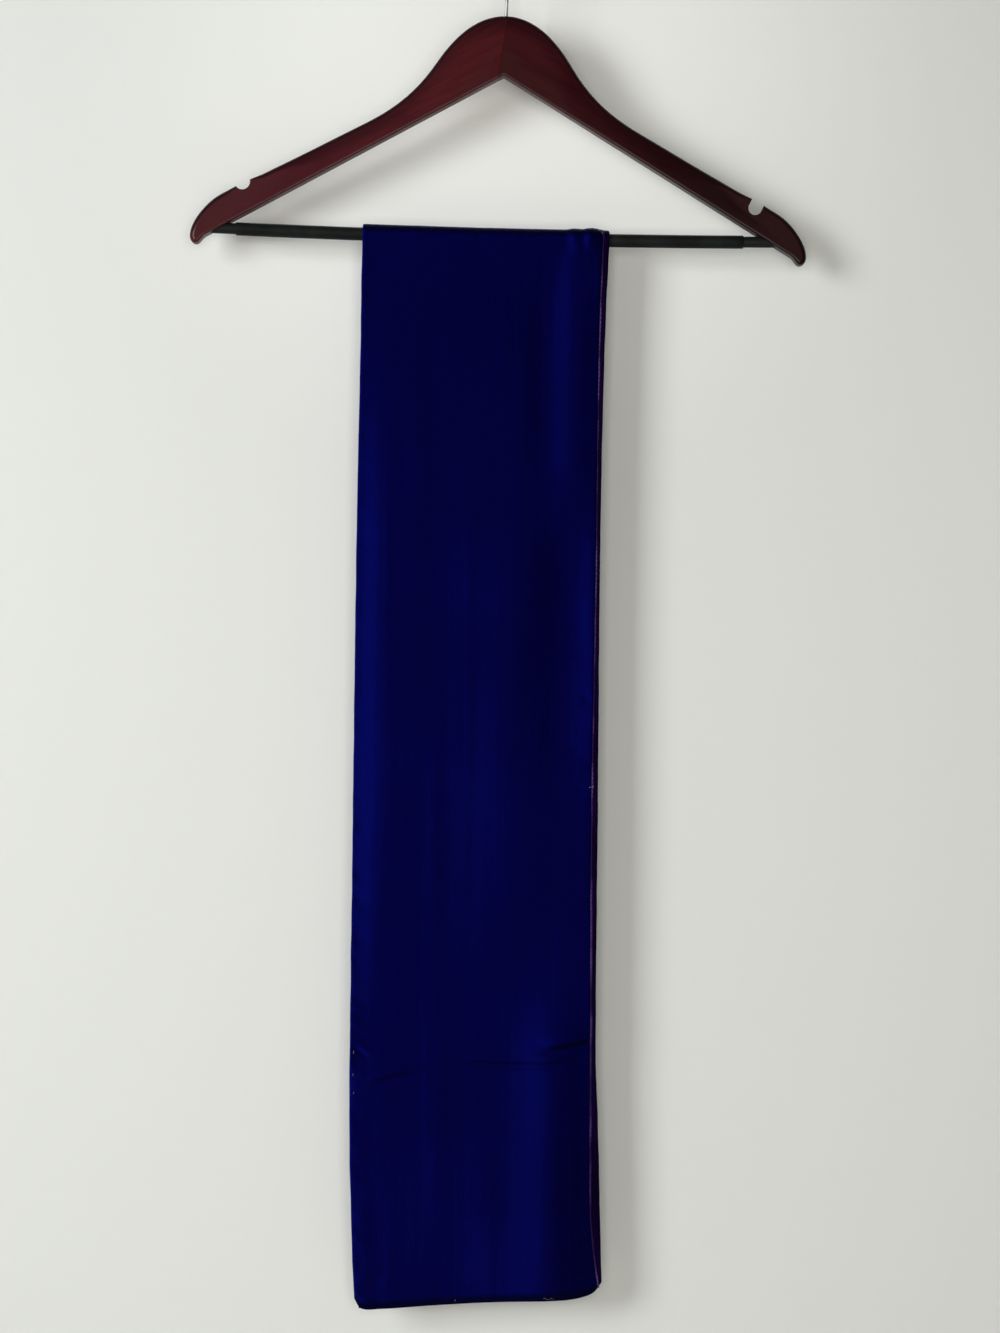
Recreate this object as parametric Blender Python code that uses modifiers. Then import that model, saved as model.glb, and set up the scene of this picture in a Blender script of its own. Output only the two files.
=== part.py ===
"""A velvet scarf folded over the bar of a wooden hanger.

The frame is in metres, +Z up. The origin is where the hook is held: the inner top of its loop.
+X is to the right and -Y is the front, where the velvet of the front tail shows.
The scarf hangs plumb. The hanger's wood and hook lean a little, because the scarf lies off centre.
"""

from collections import namedtuple
from math import cos, exp, pi, radians, sin, tan

import bmesh
import bpy
from mathutils import Matrix, Vector

MM = 0.001
CLEARANCE = 0.3 * MM

# The hanger
HANGER_TILT = radians(1.65)
CROWN_DROP = 60.0 * MM
ARM_THICKNESS = 12.0 * MM
ARM_ROUNDING = 1.5 * MM
UNDERSIDE_APEX = 43.0 * MM
JOINT_LEAN = radians(7.5)
JOINT_POINT = Vector((0.0, 0.0, -CROWN_DROP - 11.0 * MM))

# The hook
WIRE_RADIUS = 1.3 * MM
LOOP_INNER_RADIUS = 16.5 * MM
LOOP_OPEN_END = radians(195.0)
LOOP_LOWER_END = radians(-65.0)
STEM_DEPTH = 13.0 * MM
STEM_BORE_RISE = 5.0 * MM

# The bar: its axis in the world, with a slight sag under the scarf
BAR_Y = 13.8 * MM
BAR_MIDDLE_X = -8.0 * MM
BAR_MIDDLE_Z = -216.1 * MM
BAR_SLOPE = tan(radians(-1.02))
BAR_SAG = 2.2 * MM
BAR_END_REACH = 205.0 * MM
BAR_HALF_SPAN = 200.0 * MM
ROD_LEFT_END = -219.5 * MM
ROD_RIGHT_END = 203.5 * MM
ROD_RADIUS = 3.7 * MM
SLEEVE_LEFT_END = -195.5 * MM
SLEEVE_RIGHT_END = 170.5 * MM
SLEEVE_RADIUS = 4.7 * MM
SLEEVE_WALL = 0.7 * MM

# The scarf: two walls sewn into a flat tube, folded over the bar, in three stretches
WALL = 1.0 * MM
LAYER_OFFSET = 0.5 * (WALL + CLEARANCE)
EDGE_RADIUS = LAYER_OFFSET + 0.5 * WALL
DRAPE_RADIUS = SLEEVE_RADIUS + CLEARANCE + EDGE_RADIUS
BACK_SEAM_INSET = 4.0 * MM
REAR_TAIL_INSET = 1.0 * MM
REAR_INSET_EASE = 60.0
REAR_TAIL_SHORTER = 18.0 * MM
FRONT_ROWS = 22
REAR_ROWS = 16
BEND_STEPS = 10
INNER_COLUMNS = 10
EDGE_STEPS = 4

# One half of the yoke's outline, from the crown to the tip, in millimetres right of and below the
# crown, each point with its heading in degrees and its curve's reach before and after it
OutlinePoint = namedtuple("OutlinePoint", "x z heading reach_in reach_out")
ARM_OUTLINE = (
    OutlinePoint(0.0, 0.0, 0.0, 24.0, 24.0),
    OutlinePoint(49.0, -34.8, -57.0, 17.5, 22.0),
    OutlinePoint(98.4, -78.8, -27.6, 26.0, 28.0),
    OutlinePoint(187.0, -125.2, -26.0, 28.0, 7.0),
    OutlinePoint(207.0, -136.6, -41.0, 7.0, 9.0),
    OutlinePoint(222.3, -162.3, -90.0, 9.0, 3.4),
    OutlinePoint(217.6, -168.0, -188.0, 2.8, 2.6),
    OutlinePoint(211.0, -161.9, -209.4, 3.2, 4.0),
)

# The strap notches: a round-ended slot, cut square to the arm's top edge
Notch = namedtuple("Notch", "x z radius lean")
LEFT_NOTCH = Notch(-185.3, -123.5, 5.5, -24.0)
RIGHT_NOTCH = Notch(183.8, -129.0, 4.9, 24.0)
NOTCH_CUTTER_LENGTH = 40.0 * MM
NOTCH_CUTTER_RISE = 20.0 * MM

# The front tail's edges, in millimetres from the origin, at drops below the bar, and how wide a
# strip of the backing shows along its right edge
Section = namedtuple("Section", "drop left right strip")
TAIL_SECTIONS = (
    Section(0.0, -103.8, 74.0, 4.4),
    Section(35.0, -104.3, 72.4, 4.1),
    Section(95.0, -104.8, 70.7, 3.6),
    Section(175.0, -106.0, 69.4, 2.9),
    Section(260.0, -106.8, 68.8, 2.6),
    Section(430.0, -107.6, 68.7, 3.0),
    Section(600.0, -108.3, 68.6, 2.8),
    Section(660.0, -108.0, 70.8, 4.4),
    Section(720.0, -106.2, 72.6, 4.8),
    Section(772.0, -104.0, 74.2, 2.6),
)

# The front hem's height at fractions of the way across; the rear hem is its mirror image, higher up
HemPoint = namedtuple("HemPoint", "across z")
HEM = (
    HemPoint(0.00, -980.5),
    HemPoint(0.025, -987.6),
    HemPoint(0.10, -988.2),
    HemPoint(0.30, -985.5),
    HemPoint(0.55, -982.6),
    HemPoint(0.85, -980.7),
    HemPoint(0.92, -978.9),
    HemPoint(0.97, -975.2),
    HemPoint(1.00, -968.0),
)

# The largest folds of each tail: where across at the top, how far it drifts by its bottom, its top
# and bottom as drops in millimetres, its reach to each side and its depth outwards
Fold = namedtuple("Fold", "across drift top bottom reach depth")
FOLD_FADE = 0.35
FRONT_FOLDS = (
    Fold(0.755, 0.03, 2.0, 215.0, 0.080, -0.8),
    Fold(0.885, 0.00, 2.0, 225.0, 0.070, 0.7),
    Fold(0.000, 0.00, 40.0, 640.0, 0.075, -2.2),
    Fold(0.620, 0.02, 110.0, 640.0, 0.200, 1.1),
    Fold(0.860, 0.00, 200.0, 600.0, 0.055, -0.9),
    Fold(0.850, -0.08, 500.0, 1040.0, 0.120, 2.5),
    Fold(1.000, -0.02, 500.0, 1040.0, 0.110, -2.2),
)
REAR_FOLDS = (
    Fold(0.180, 0.05, 30.0, 600.0, 0.120, 1.9),
    Fold(0.520, -0.08, 90.0, 1000.0, 0.140, -1.6),
    Fold(0.820, 0.03, 200.0, 1040.0, 0.110, 2.6),
)

# Level creases left by packing: the drop at each edge, the reach up and down and the depth
Crease = namedtuple("Crease", "left_drop right_drop reach depth")
FRONT_CREASES = (
    Crease(603.0, 578.0, 16.0, 1.3),
)
REAR_CREASES = (
    Crease(390.0, 402.0, 18.0, 1.2),
)

# Where the cloth is gathered a little higher over the bar, near its right edge, and how far down
GATHER_START = 0.845
GATHER_END = 0.885
GATHER_LIFT = 0.9 * MM
GATHER_FADE = 110.0


def clear_scene():
    """Remove every object of the file."""
    for old in list(bpy.data.objects):
        bpy.data.objects.remove(old, do_unlink=True)


def make_collection(name):
    """Add a collection to the scene."""
    collection = bpy.data.collections.new(name)
    bpy.context.scene.collection.children.link(collection)
    return collection


def make_material(name, colour, roughness, metallic=0.0):
    """A plain Principled material."""
    material = bpy.data.materials.new(name)
    material.use_nodes = True
    shader = material.node_tree.nodes["Principled BSDF"]
    shader.inputs["Base Color"].default_value = (*colour, 1.0)
    shader.inputs["Roughness"].default_value = roughness
    shader.inputs["Metallic"].default_value = metallic
    return material


def add_piece(name, mesh, material, collection, parent=None):
    """One named piece, smooth but for its sharp edges."""
    mesh.name = name
    mesh.materials.clear()
    mesh.materials.append(material)
    mesh.shade_smooth()
    mesh.set_sharp_from_angle(angle=radians(40.0))
    piece = bpy.data.objects.new(name, mesh)
    piece.parent = parent
    collection.objects.link(piece)
    return piece


def add_cutter(name, mesh, collection, parent=None):
    """A piece that only cuts others."""
    cutter = bpy.data.objects.new(name, mesh)
    cutter.parent = parent
    cutter.hide_render = True
    cutter.display_type = "WIRE"
    collection.objects.link(cutter)
    return cutter


def cut(piece, cutter):
    """Take the cutter's form out of a piece."""
    modifier = piece.modifiers.new(cutter.name, "BOOLEAN")
    modifier.operation = "DIFFERENCE"
    modifier.solver = "EXACT"
    modifier.object = cutter


def mesh_of_curve(curve):
    """The curve's mesh, its caps welded on. The curve is used up."""
    holder = bpy.data.objects.new("curve_holder", curve)
    bpy.context.scene.collection.objects.link(holder)
    graph = bpy.context.evaluated_depsgraph_get()
    mesh = bpy.data.meshes.new_from_object(holder.evaluated_get(graph))
    bpy.data.objects.remove(holder, do_unlink=True)
    bpy.data.curves.remove(curve)
    shape = bmesh.new()
    shape.from_mesh(mesh)
    bmesh.ops.remove_doubles(shape, verts=shape.verts, dist=0.01 * MM)
    bmesh.ops.recalc_face_normals(shape, faces=shape.faces)
    shape.to_mesh(mesh)
    shape.free()
    return mesh


def tube_mesh(points, radius, fineness=2, caps=True):
    """A round tube along points."""
    curve = bpy.data.curves.new("tube", "CURVE")
    curve.dimensions = "3D"
    curve.bevel_depth = radius
    curve.bevel_resolution = fineness
    curve.use_fill_caps = caps
    spline = curve.splines.new("POLY")
    spline.points.add(len(points) - 1)
    for slot, point in zip(spline.points, points):
        slot.co = (*point, 1.0)
    return mesh_of_curve(curve)


def smooth_step(value):
    """Ease from 0 to 1."""
    value = min(1.0, max(0.0, value))
    return value * value * (3.0 - 2.0 * value)


def read_table(rows, key, column, value):
    """A smooth curve through one column of a table, read at a value of its key column."""
    places = [getattr(row, key) for row in rows]
    values = [getattr(row, column) for row in rows]
    if value <= places[0]:
        return values[0]
    if value >= places[-1]:
        return values[-1]
    after = next(index for index, place in enumerate(places) if place > value)
    before = after - 1
    span = places[after] - places[before]
    step = (value - places[before]) / span

    def slope(index):
        low = max(0, index - 1)
        high = min(len(places) - 1, index + 1)
        return (values[high] - values[low]) / (places[high] - places[low])

    square = step * step
    cube = square * step
    return ((2 * cube - 3 * square + 1) * values[before]
            + (cube - 2 * square + step) * span * slope(before)
            + (3 * square - 2 * cube) * values[after]
            + (cube - square) * span * slope(after))


def yoke_mesh():
    """The whole yoke as a flat board with rounded edges, from the mirrored half outline."""
    curve = bpy.data.curves.new("yoke", "CURVE")
    curve.dimensions = "2D"
    curve.fill_mode = "BOTH"
    curve.bevel_depth = ARM_ROUNDING
    curve.bevel_resolution = 1
    curve.extrude = 0.5 * ARM_THICKNESS - ARM_ROUNDING
    curve.offset = -ARM_ROUNDING
    curve.resolution_u = 6

    rows = []
    for row in ARM_OUTLINE:
        rows.append((row.x, row.z, radians(row.heading), row.reach_in, row.reach_out))
    rows.append((0.0, -UNDERSIDE_APEX / MM, None, 0.0, 0.0))
    for row in reversed(ARM_OUTLINE[1:]):
        rows.append((-row.x, row.z, radians(-row.heading), row.reach_out, row.reach_in))

    spline = curve.splines.new("BEZIER")
    spline.use_cyclic_u = True
    spline.bezier_points.add(len(rows) - 1)
    for slot, (x, z, heading, reach_in, reach_out) in zip(spline.bezier_points, rows):
        place = Vector((x, z, 0.0)) * MM
        slot.co = place
        if heading is None:
            slot.handle_left_type = slot.handle_right_type = "VECTOR"
            continue
        slot.handle_left_type = slot.handle_right_type = "FREE"
        ahead = Vector((cos(heading), sin(heading), 0.0)) * MM
        slot.handle_left = place - ahead * reach_in
        slot.handle_right = place + ahead * reach_out
    mesh = mesh_of_curve(curve)
    stand_up = Matrix.Rotation(radians(90.0), 4, "X")
    mesh.transform(Matrix.Translation((0.0, 0.0, -CROWN_DROP)) @ stand_up)
    return mesh


def arm_mesh(yoke, side):
    """One arm: the yoke cut at the leaning joint, then swept back from it to meet the bar's end."""
    joint_normal = Vector((cos(JOINT_LEAN), 0.0, -sin(JOINT_LEAN))) * side
    bar_end = Vector((side * BAR_END_REACH, 0.0, BAR_MIDDLE_Z))
    sweep = BAR_Y / (bar_end - JOINT_POINT).dot(joint_normal)
    shape = bmesh.new()
    shape.from_mesh(yoke)
    bmesh.ops.bisect_plane(
        shape,
        geom=[*shape.verts, *shape.edges, *shape.faces],
        dist=0.001 * MM,
        plane_co=JOINT_POINT + joint_normal * 0.5 * CLEARANCE,
        plane_no=joint_normal,
        clear_inner=True,
    )
    rim = [edge for edge in shape.edges if edge.is_boundary]
    bmesh.ops.holes_fill(shape, edges=rim)
    for vertex in shape.verts:
        vertex.co.y += (vertex.co - JOINT_POINT).dot(joint_normal) * sweep
    bmesh.ops.recalc_face_normals(shape, faces=shape.faces)
    mesh = bpy.data.meshes.new("arm")
    shape.to_mesh(mesh)
    shape.free()
    return mesh


def notch_mesh(notch):
    """The cutter of a strap notch: a slot with a round end, through the arm's thickness."""
    radius = notch.radius * MM
    shape = bmesh.new()
    bmesh.ops.create_cone(
        shape,
        cap_ends=True,
        segments=24,
        radius1=radius,
        radius2=radius,
        depth=NOTCH_CUTTER_LENGTH,
    )
    bmesh.ops.rotate(shape, verts=shape.verts, matrix=Matrix.Rotation(radians(90.0), 3, "X"))
    upper_half = [vertex for vertex in shape.verts if vertex.co.z > 0.0]
    bmesh.ops.translate(shape, verts=upper_half, vec=(0.0, 0.0, NOTCH_CUTTER_RISE))
    bmesh.ops.rotate(shape, verts=shape.verts, matrix=Matrix.Rotation(radians(notch.lean), 3, "Y"))
    bmesh.ops.translate(shape, verts=shape.verts, vec=(notch.x * MM, BAR_Y, notch.z * MM - CROWN_DROP))
    mesh = bpy.data.meshes.new("notch")
    shape.to_mesh(mesh)
    shape.free()
    return mesh


def hook_points():
    """The wire's centre line: the open loop, a bend back under it, and the stem in the crown."""
    loop_radius = LOOP_INNER_RADIUS + WIRE_RADIUS
    centre = Vector((0.0, 0.0, -LOOP_INNER_RADIUS))
    points = []
    loop_steps = 22
    for step in range(loop_steps + 1):
        angle = LOOP_OPEN_END + (LOOP_LOWER_END - LOOP_OPEN_END) * step / loop_steps
        points.append(centre + loop_radius * Vector((cos(angle), 0.0, sin(angle))))
    lean = cos(LOOP_LOWER_END)
    bend_radius = loop_radius * lean / (1.0 - lean)
    bend_centre = centre + (loop_radius + bend_radius) * Vector((lean, 0.0, sin(LOOP_LOWER_END)))
    bend_steps = 6
    for step in range(1, bend_steps + 1):
        angle = pi + LOOP_LOWER_END * (1.0 - step / bend_steps)
        points.append(bend_centre + bend_radius * Vector((cos(angle), 0.0, sin(angle))))
    points.append(Vector((0.0, 0.0, -CROWN_DROP - STEM_DEPTH)))
    return points


def bar_axis(x):
    """The bar's axis at a place across."""
    along = (x - BAR_MIDDLE_X) / BAR_HALF_SPAN
    z = BAR_MIDDLE_Z + BAR_SLOPE * (x - BAR_MIDDLE_X) + BAR_SAG * along * along
    return Vector((x, BAR_Y, z))


def bar_points(start, end, steps=12):
    """Points along the bar's axis."""
    return [bar_axis(start + (end - start) * step / steps) for step in range(steps + 1)]


def fold_depth(across, drop, folds, creases):
    """How far a tail stands out from its plane at one place, in metres."""
    depth = 0.0
    for fold in folds:
        run = (drop - fold.top) / (fold.bottom - fold.top)
        if 0.0 < run < 1.0:
            fade = smooth_step(run / FOLD_FADE) * smooth_step((1.0 - run) / FOLD_FADE)
            beside = (across - fold.across - fold.drift * run) / fold.reach
            depth += fold.depth * fade * exp(-beside * beside)
    for crease in creases:
        level = crease.left_drop + (crease.right_drop - crease.left_drop) * across
        above = (drop - level) / crease.reach
        depth += crease.depth * exp(-above * above)
    return depth * MM


# One ring of the scarf along its length: which tail or the bend, and how far down the tail as a
# fraction, or how far round the bend as an angle
Station = namedtuple("Station", "part value")


def stretches():
    """The rings of each stretch: the front tail, the bend over the bar and the rear tail.

    The stretches stand a hair apart, half of the gap on each side of the bend's two ends.
    """
    tail_length = TAIL_SECTIONS[-1].drop * MM
    near_bend = 0.5 * CLEARANCE / tail_length
    turn_gap = 0.5 * CLEARANCE / DRAPE_RADIUS
    front = [Station("front", 1.0 - row / FRONT_ROWS) for row in range(FRONT_ROWS)]
    rear = [Station("rear", (row + 1) / REAR_ROWS) for row in range(REAR_ROWS)]
    bend = []
    for step in range(BEND_STEPS + 1):
        turn = pi * step / BEND_STEPS
        bend.append(Station("bend", min(max(turn, turn_gap), pi - turn_gap)))
    return {
        "front": front + [Station("front", near_bend)],
        "top": bend,
        "rear": [Station("rear", near_bend)] + rear,
    }


def section_at(station):
    """The scarf's edges and its strip of backing at a station, in metres."""
    tail_length = TAIL_SECTIONS[-1].drop
    drop = 0.0 if station.part == "bend" else station.value * tail_length
    inset = REAR_TAIL_INSET * smooth_step(drop / REAR_INSET_EASE) if station.part == "rear" else 0.0
    left = read_table(TAIL_SECTIONS, "drop", "left", drop) * MM + inset
    right = read_table(TAIL_SECTIONS, "drop", "right", drop) * MM - inset
    strip = read_table(TAIL_SECTIONS, "drop", "strip", drop) * MM
    return Section(drop, left, right, strip)


def column_places(section):
    """Places across a ring that both walls share, so that they stay parallel."""
    half_gap = 0.5 * CLEARANCE
    back_seam = section.left + BACK_SEAM_INSET
    front_seam = section.right - section.strip
    places = [section.left + EDGE_RADIUS, back_seam - half_gap, back_seam + half_gap]
    start = places[-1]
    end = front_seam - half_gap
    for column in range(1, INNER_COLUMNS + 1):
        even = column / (INNER_COLUMNS + 1)
        closer_at_edges = 0.5 - 0.5 * cos(pi * even)
        places.append(start + (end - start) * 0.5 * (even + closer_at_edges))
    return places + [end, front_seam + half_gap, section.right - EDGE_RADIUS]


def drape_point(station, section, x, out):
    """A point of the scarf, out from its middle surface at a place across a ring."""
    across = (x - section.left) / (section.right - section.left)
    lift = GATHER_LIFT * smooth_step((across - GATHER_START) / (GATHER_END - GATHER_START))
    lift *= 1.0 - smooth_step(section.drop / GATHER_FADE)
    axis = bar_axis(x)
    radius = DRAPE_RADIUS + lift + out
    if station.part == "bend":
        turn = Vector((0.0, -cos(station.value), sin(station.value)))
        return axis + radius * turn
    if station.part == "front":
        hem = read_table(HEM, "across", "z", across) * MM
        y = axis.y - radius - fold_depth(across, section.drop, FRONT_FOLDS, FRONT_CREASES)
    else:
        hem = read_table(HEM, "across", "z", 1.0 - across) * MM + REAR_TAIL_SHORTER
        y = axis.y + radius + fold_depth(across, section.drop, REAR_FOLDS, REAR_CREASES)
    return Vector((x, y, axis.z + station.value * (hem - axis.z)))


def velvet_run(section):
    """The velvet's places across: its front, round the left edge, and a turned-in strip behind."""
    places = column_places(section)
    run = [(x, LAYER_OFFSET) for x in reversed(places[:-2])]
    for step in range(1, EDGE_STEPS):
        turn = pi * step / EDGE_STEPS
        run.append((places[0] - LAYER_OFFSET * sin(turn), LAYER_OFFSET * cos(turn)))
    return run + [(x, -LAYER_OFFSET) for x in places[:2]]


def backing_run(section):
    """The backing's places across: behind, round the right edge, and its strip in front."""
    places = column_places(section)
    run = [(x, -LAYER_OFFSET) for x in places[2:]]
    for step in range(1, EDGE_STEPS):
        turn = pi * step / EDGE_STEPS
        run.append((places[-1] + LAYER_OFFSET * sin(turn), -LAYER_OFFSET * cos(turn)))
    return run + [(x, LAYER_OFFSET) for x in reversed(places[-2:])]


def panel_mesh(rings_along, run_across):
    """The open middle surface of one stretch of a panel, with faces between each two rings.

    Each four-sided patch is split along the same diagonal in both panels, so that their walls
    stay parallel where a fold twists the patch.
    """
    shape = bmesh.new()
    rings = []
    for station in rings_along:
        section = section_at(station)
        ring = [shape.verts.new(drape_point(station, section, x, out)) for x, out in run_across(section)]
        rings.append(ring)
    for ring, following in zip(rings, rings[1:]):
        for column in range(len(ring) - 1):
            near, far = ring[column:column + 2]
            next_near, next_far = following[column:column + 2]
            if far.co.x > near.co.x:
                shape.faces.new((near, far, next_far))
                shape.faces.new((near, next_far, next_near))
            else:
                shape.faces.new((near, far, next_near))
                shape.faces.new((far, next_far, next_near))
    mesh = bpy.data.meshes.new("panel")
    shape.to_mesh(mesh)
    shape.free()
    return mesh


def add_wall(piece, thickness):
    """Give an open surface its thickness, half to each side."""
    modifier = piece.modifiers.new("wall", "SOLIDIFY")
    modifier.thickness = thickness
    modifier.offset = 0.0
    modifier.use_even_offset = True
    modifier.use_rim = True


def build_hanger(collection, cutters):
    """The yoke's two arms, the hook and the bar with its sleeve."""
    wood = make_material("cherry_lacquer", (0.075, 0.012, 0.014), 0.28)
    steel = make_material("hook_steel", (0.55, 0.55, 0.56), 0.3, 1.0)
    rod_paint = make_material("rod_black", (0.015, 0.017, 0.018), 0.35)
    sleeve_rubber = make_material("sleeve_grey", (0.022, 0.027, 0.027), 0.6)

    tilt = bpy.data.objects.new("hanger_tilt", None)
    tilt.rotation_euler = (0.0, HANGER_TILT, 0.0)
    collection.objects.link(tilt)

    hook = tube_mesh(hook_points(), WIRE_RADIUS)
    add_piece("hook", hook, steel, collection, tilt)
    bore_top = Vector((0.0, 0.0, STEM_BORE_RISE - CROWN_DROP))
    bore_end = hook_points()[-1] - Vector((0.0, 0.0, CLEARANCE))
    stem_room = tube_mesh([bore_top, bore_end], WIRE_RADIUS + CLEARANCE)
    stem_bore = add_cutter("stem_bore", stem_room, cutters, tilt)

    rod = tube_mesh(bar_points(ROD_LEFT_END, ROD_RIGHT_END), ROD_RADIUS, 3)
    add_piece("bar_rod", rod, rod_paint, collection)
    bore = tube_mesh(bar_points(ROD_LEFT_END - CLEARANCE, ROD_RIGHT_END + CLEARANCE),
                     ROD_RADIUS + CLEARANCE, 3)
    rod_bore = add_cutter("rod_bore", bore, cutters)

    sleeve = tube_mesh(bar_points(SLEEVE_LEFT_END, SLEEVE_RIGHT_END),
                       SLEEVE_RADIUS - 0.5 * SLEEVE_WALL, 3, caps=False)
    sleeve_piece = add_piece("bar_sleeve", sleeve, sleeve_rubber, collection)
    add_wall(sleeve_piece, SLEEVE_WALL)

    yoke = yoke_mesh()
    for name, side, notch in (("arm_left", -1.0, LEFT_NOTCH), ("arm_right", 1.0, RIGHT_NOTCH)):
        arm = add_piece(name, arm_mesh(yoke, side), wood, collection, tilt)
        cut(arm, add_cutter(name + "_notch", notch_mesh(notch), cutters, tilt))
        cut(arm, stem_bore)
        cut(arm, rod_bore)


def build_scarf(collection):
    """The velvet and its backing."""
    velvet = make_material("blue_velvet", (0.003, 0.003, 0.05), 0.8)
    plum = make_material("plum_backing", (0.012, 0.001, 0.014), 0.55)
    for stretch, rings in stretches().items():
        face = add_piece("velvet_" + stretch, panel_mesh(rings, velvet_run), velvet, collection)
        add_wall(face, WALL)
        back = add_piece("satin_" + stretch, panel_mesh(rings, backing_run), plum, collection)
        add_wall(back, WALL)


def main():
    clear_scene()
    parts = make_collection("velvet_scarf_on_hanger")
    cutters = make_collection("cutters")
    build_hanger(parts, cutters)
    build_scarf(parts)


main()
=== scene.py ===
"""The looks of a velvet scarf that hangs, folded once, over the bar of a wooden hanger.

Everything is in metres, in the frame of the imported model: the origin is the inner top of the
hook's loop, +X is to the right and -Y is towards the viewer of the front tail. The tables of
sections, folds and creases are in millimetres.
"""

from __future__ import annotations

import logging
import random
from dataclasses import dataclass, field
from enum import Enum
from math import acos, asin, cos, exp, pi, radians, sin, tan
from typing import NamedTuple, Sequence, Union

import bmesh
import bpy
from mathutils import Matrix, Vector, noise

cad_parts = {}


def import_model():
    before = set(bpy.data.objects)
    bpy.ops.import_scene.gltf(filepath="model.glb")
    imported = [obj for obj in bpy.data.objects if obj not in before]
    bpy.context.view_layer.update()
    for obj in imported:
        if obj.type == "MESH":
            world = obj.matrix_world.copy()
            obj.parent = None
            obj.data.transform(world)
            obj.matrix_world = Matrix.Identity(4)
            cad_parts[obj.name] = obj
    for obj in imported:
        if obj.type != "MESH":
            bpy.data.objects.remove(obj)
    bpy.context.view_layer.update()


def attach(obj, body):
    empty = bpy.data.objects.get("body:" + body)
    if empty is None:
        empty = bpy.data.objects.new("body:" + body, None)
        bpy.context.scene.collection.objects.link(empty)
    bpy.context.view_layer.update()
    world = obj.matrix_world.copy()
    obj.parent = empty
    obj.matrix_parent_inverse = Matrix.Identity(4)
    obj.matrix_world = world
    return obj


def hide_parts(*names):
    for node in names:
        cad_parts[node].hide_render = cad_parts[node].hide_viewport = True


LOG = logging.getLogger("scarf")
MM = 0.001
Colour = tuple[float, float, float]
Socket = bpy.types.NodeSocket
Feed = Union[Socket, Vector, Colour, float]


class Stretch(Enum):
    """The stretches of the scarf along its length."""

    FRONT = "front"
    BEND = "bend"
    REAR = "rear"


class Layer(Enum):
    """The scarf's two cloths."""

    VELVET = "velvet"
    BACKING = "backing"


class Side(Enum):
    """The two sides of the hanger and of the scarf, by the sign of X."""

    LEFT = -1.0
    RIGHT = 1.0


# Shared measuring


def smooth_step(value: float) -> float:
    """Ease from 0 to 1."""
    value = min(1.0, max(0.0, value))
    return value * value * (3.0 - 2.0 * value)


def swell(distance: float, reach: float) -> float:
    """A soft hump: 1 at its middle, near 0 past twice its reach."""
    share = distance / reach
    return exp(-share * share)


def even_steps(start: float, end: float, count: int) -> list[float]:
    """Places from start to end, both included, in count equal steps."""
    return [start + (end - start) * step / count for step in range(count + 1)]


def slope_at(places: Sequence[float], values: Sequence[float], index: int) -> float:
    """Measure how steeply a column of a table climbs at one of its rows.

    Args:
        places: where the rows stand.
        values: the column.
        index: the row.

    Returns:
        The slope between the row's neighbours.
    """
    low = max(0, index - 1)
    high = min(len(places) - 1, index + 1)
    return (values[high] - values[low]) / (places[high] - places[low])


def read_table(rows: Sequence[NamedTuple], key: str, column: str, value: float) -> float:
    """Read a smooth curve through one column of a table.

    Args:
        rows: the table, in the order of its key column.
        key: the column that says where each row stands.
        column: the column to read.
        value: the place to read it at.

    Returns:
        The column's value there; the end rows hold past the ends.
    """
    places = [getattr(row, key) for row in rows]
    values = [getattr(row, column) for row in rows]
    if value <= places[0]:
        return values[0]
    if value >= places[-1]:
        return values[-1]
    after = next(index for index, place in enumerate(places) if place > value)
    before = after - 1
    span = places[after] - places[before]
    step = (value - places[before]) / span
    square = step * step
    cube = square * step
    return (
        (2 * cube - 3 * square + 1) * values[before]
        + (cube - 2 * square + step) * span * slope_at(places, values, before)
        + (3 * square - 2 * cube) * values[after]
        + (cube - square) * span * slope_at(places, values, after)
    )


# Shared making of meshes


SMOOTH_TURN = 40.0
DOME_TURN = 0.48 * pi
CUT_REACH = 0.001 * MM


def new_piece(
    name: str,
    shape: bmesh.types.BMesh,
    sharp_from: float = SMOOTH_TURN,
) -> bpy.types.Object:
    """Turn a shape into a smooth object in the scene.

    Args:
        name: the piece's name.
        shape: the geometry, which is used up.
        sharp_from: edges that turn by more degrees than this stay sharp.

    Returns:
        The new object.
    """
    mesh = bpy.data.meshes.new(name)
    shape.to_mesh(mesh)
    shape.free()
    mesh.shade_smooth()
    mesh.set_sharp_from_angle(angle=radians(sharp_from))
    piece = bpy.data.objects.new(name, mesh)
    bpy.context.scene.collection.objects.link(piece)
    return piece


def skin_between(shape: bmesh.types.BMesh, rings: Sequence[Sequence], closed: bool) -> None:
    """Join each ring of vertices to the next with four-sided faces.

    Args:
        shape: the geometry that holds the vertices.
        rings: rows of vertices, all of one length.
        closed: whether the last vertex of a ring joins the first one.
    """
    for ring, following in zip(rings, rings[1:]):
        count = len(ring) if closed else len(ring) - 1
        for index in range(count):
            beside = (index + 1) % len(ring)
            shape.faces.new((ring[index], ring[beside], following[beside], following[index]))


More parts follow.
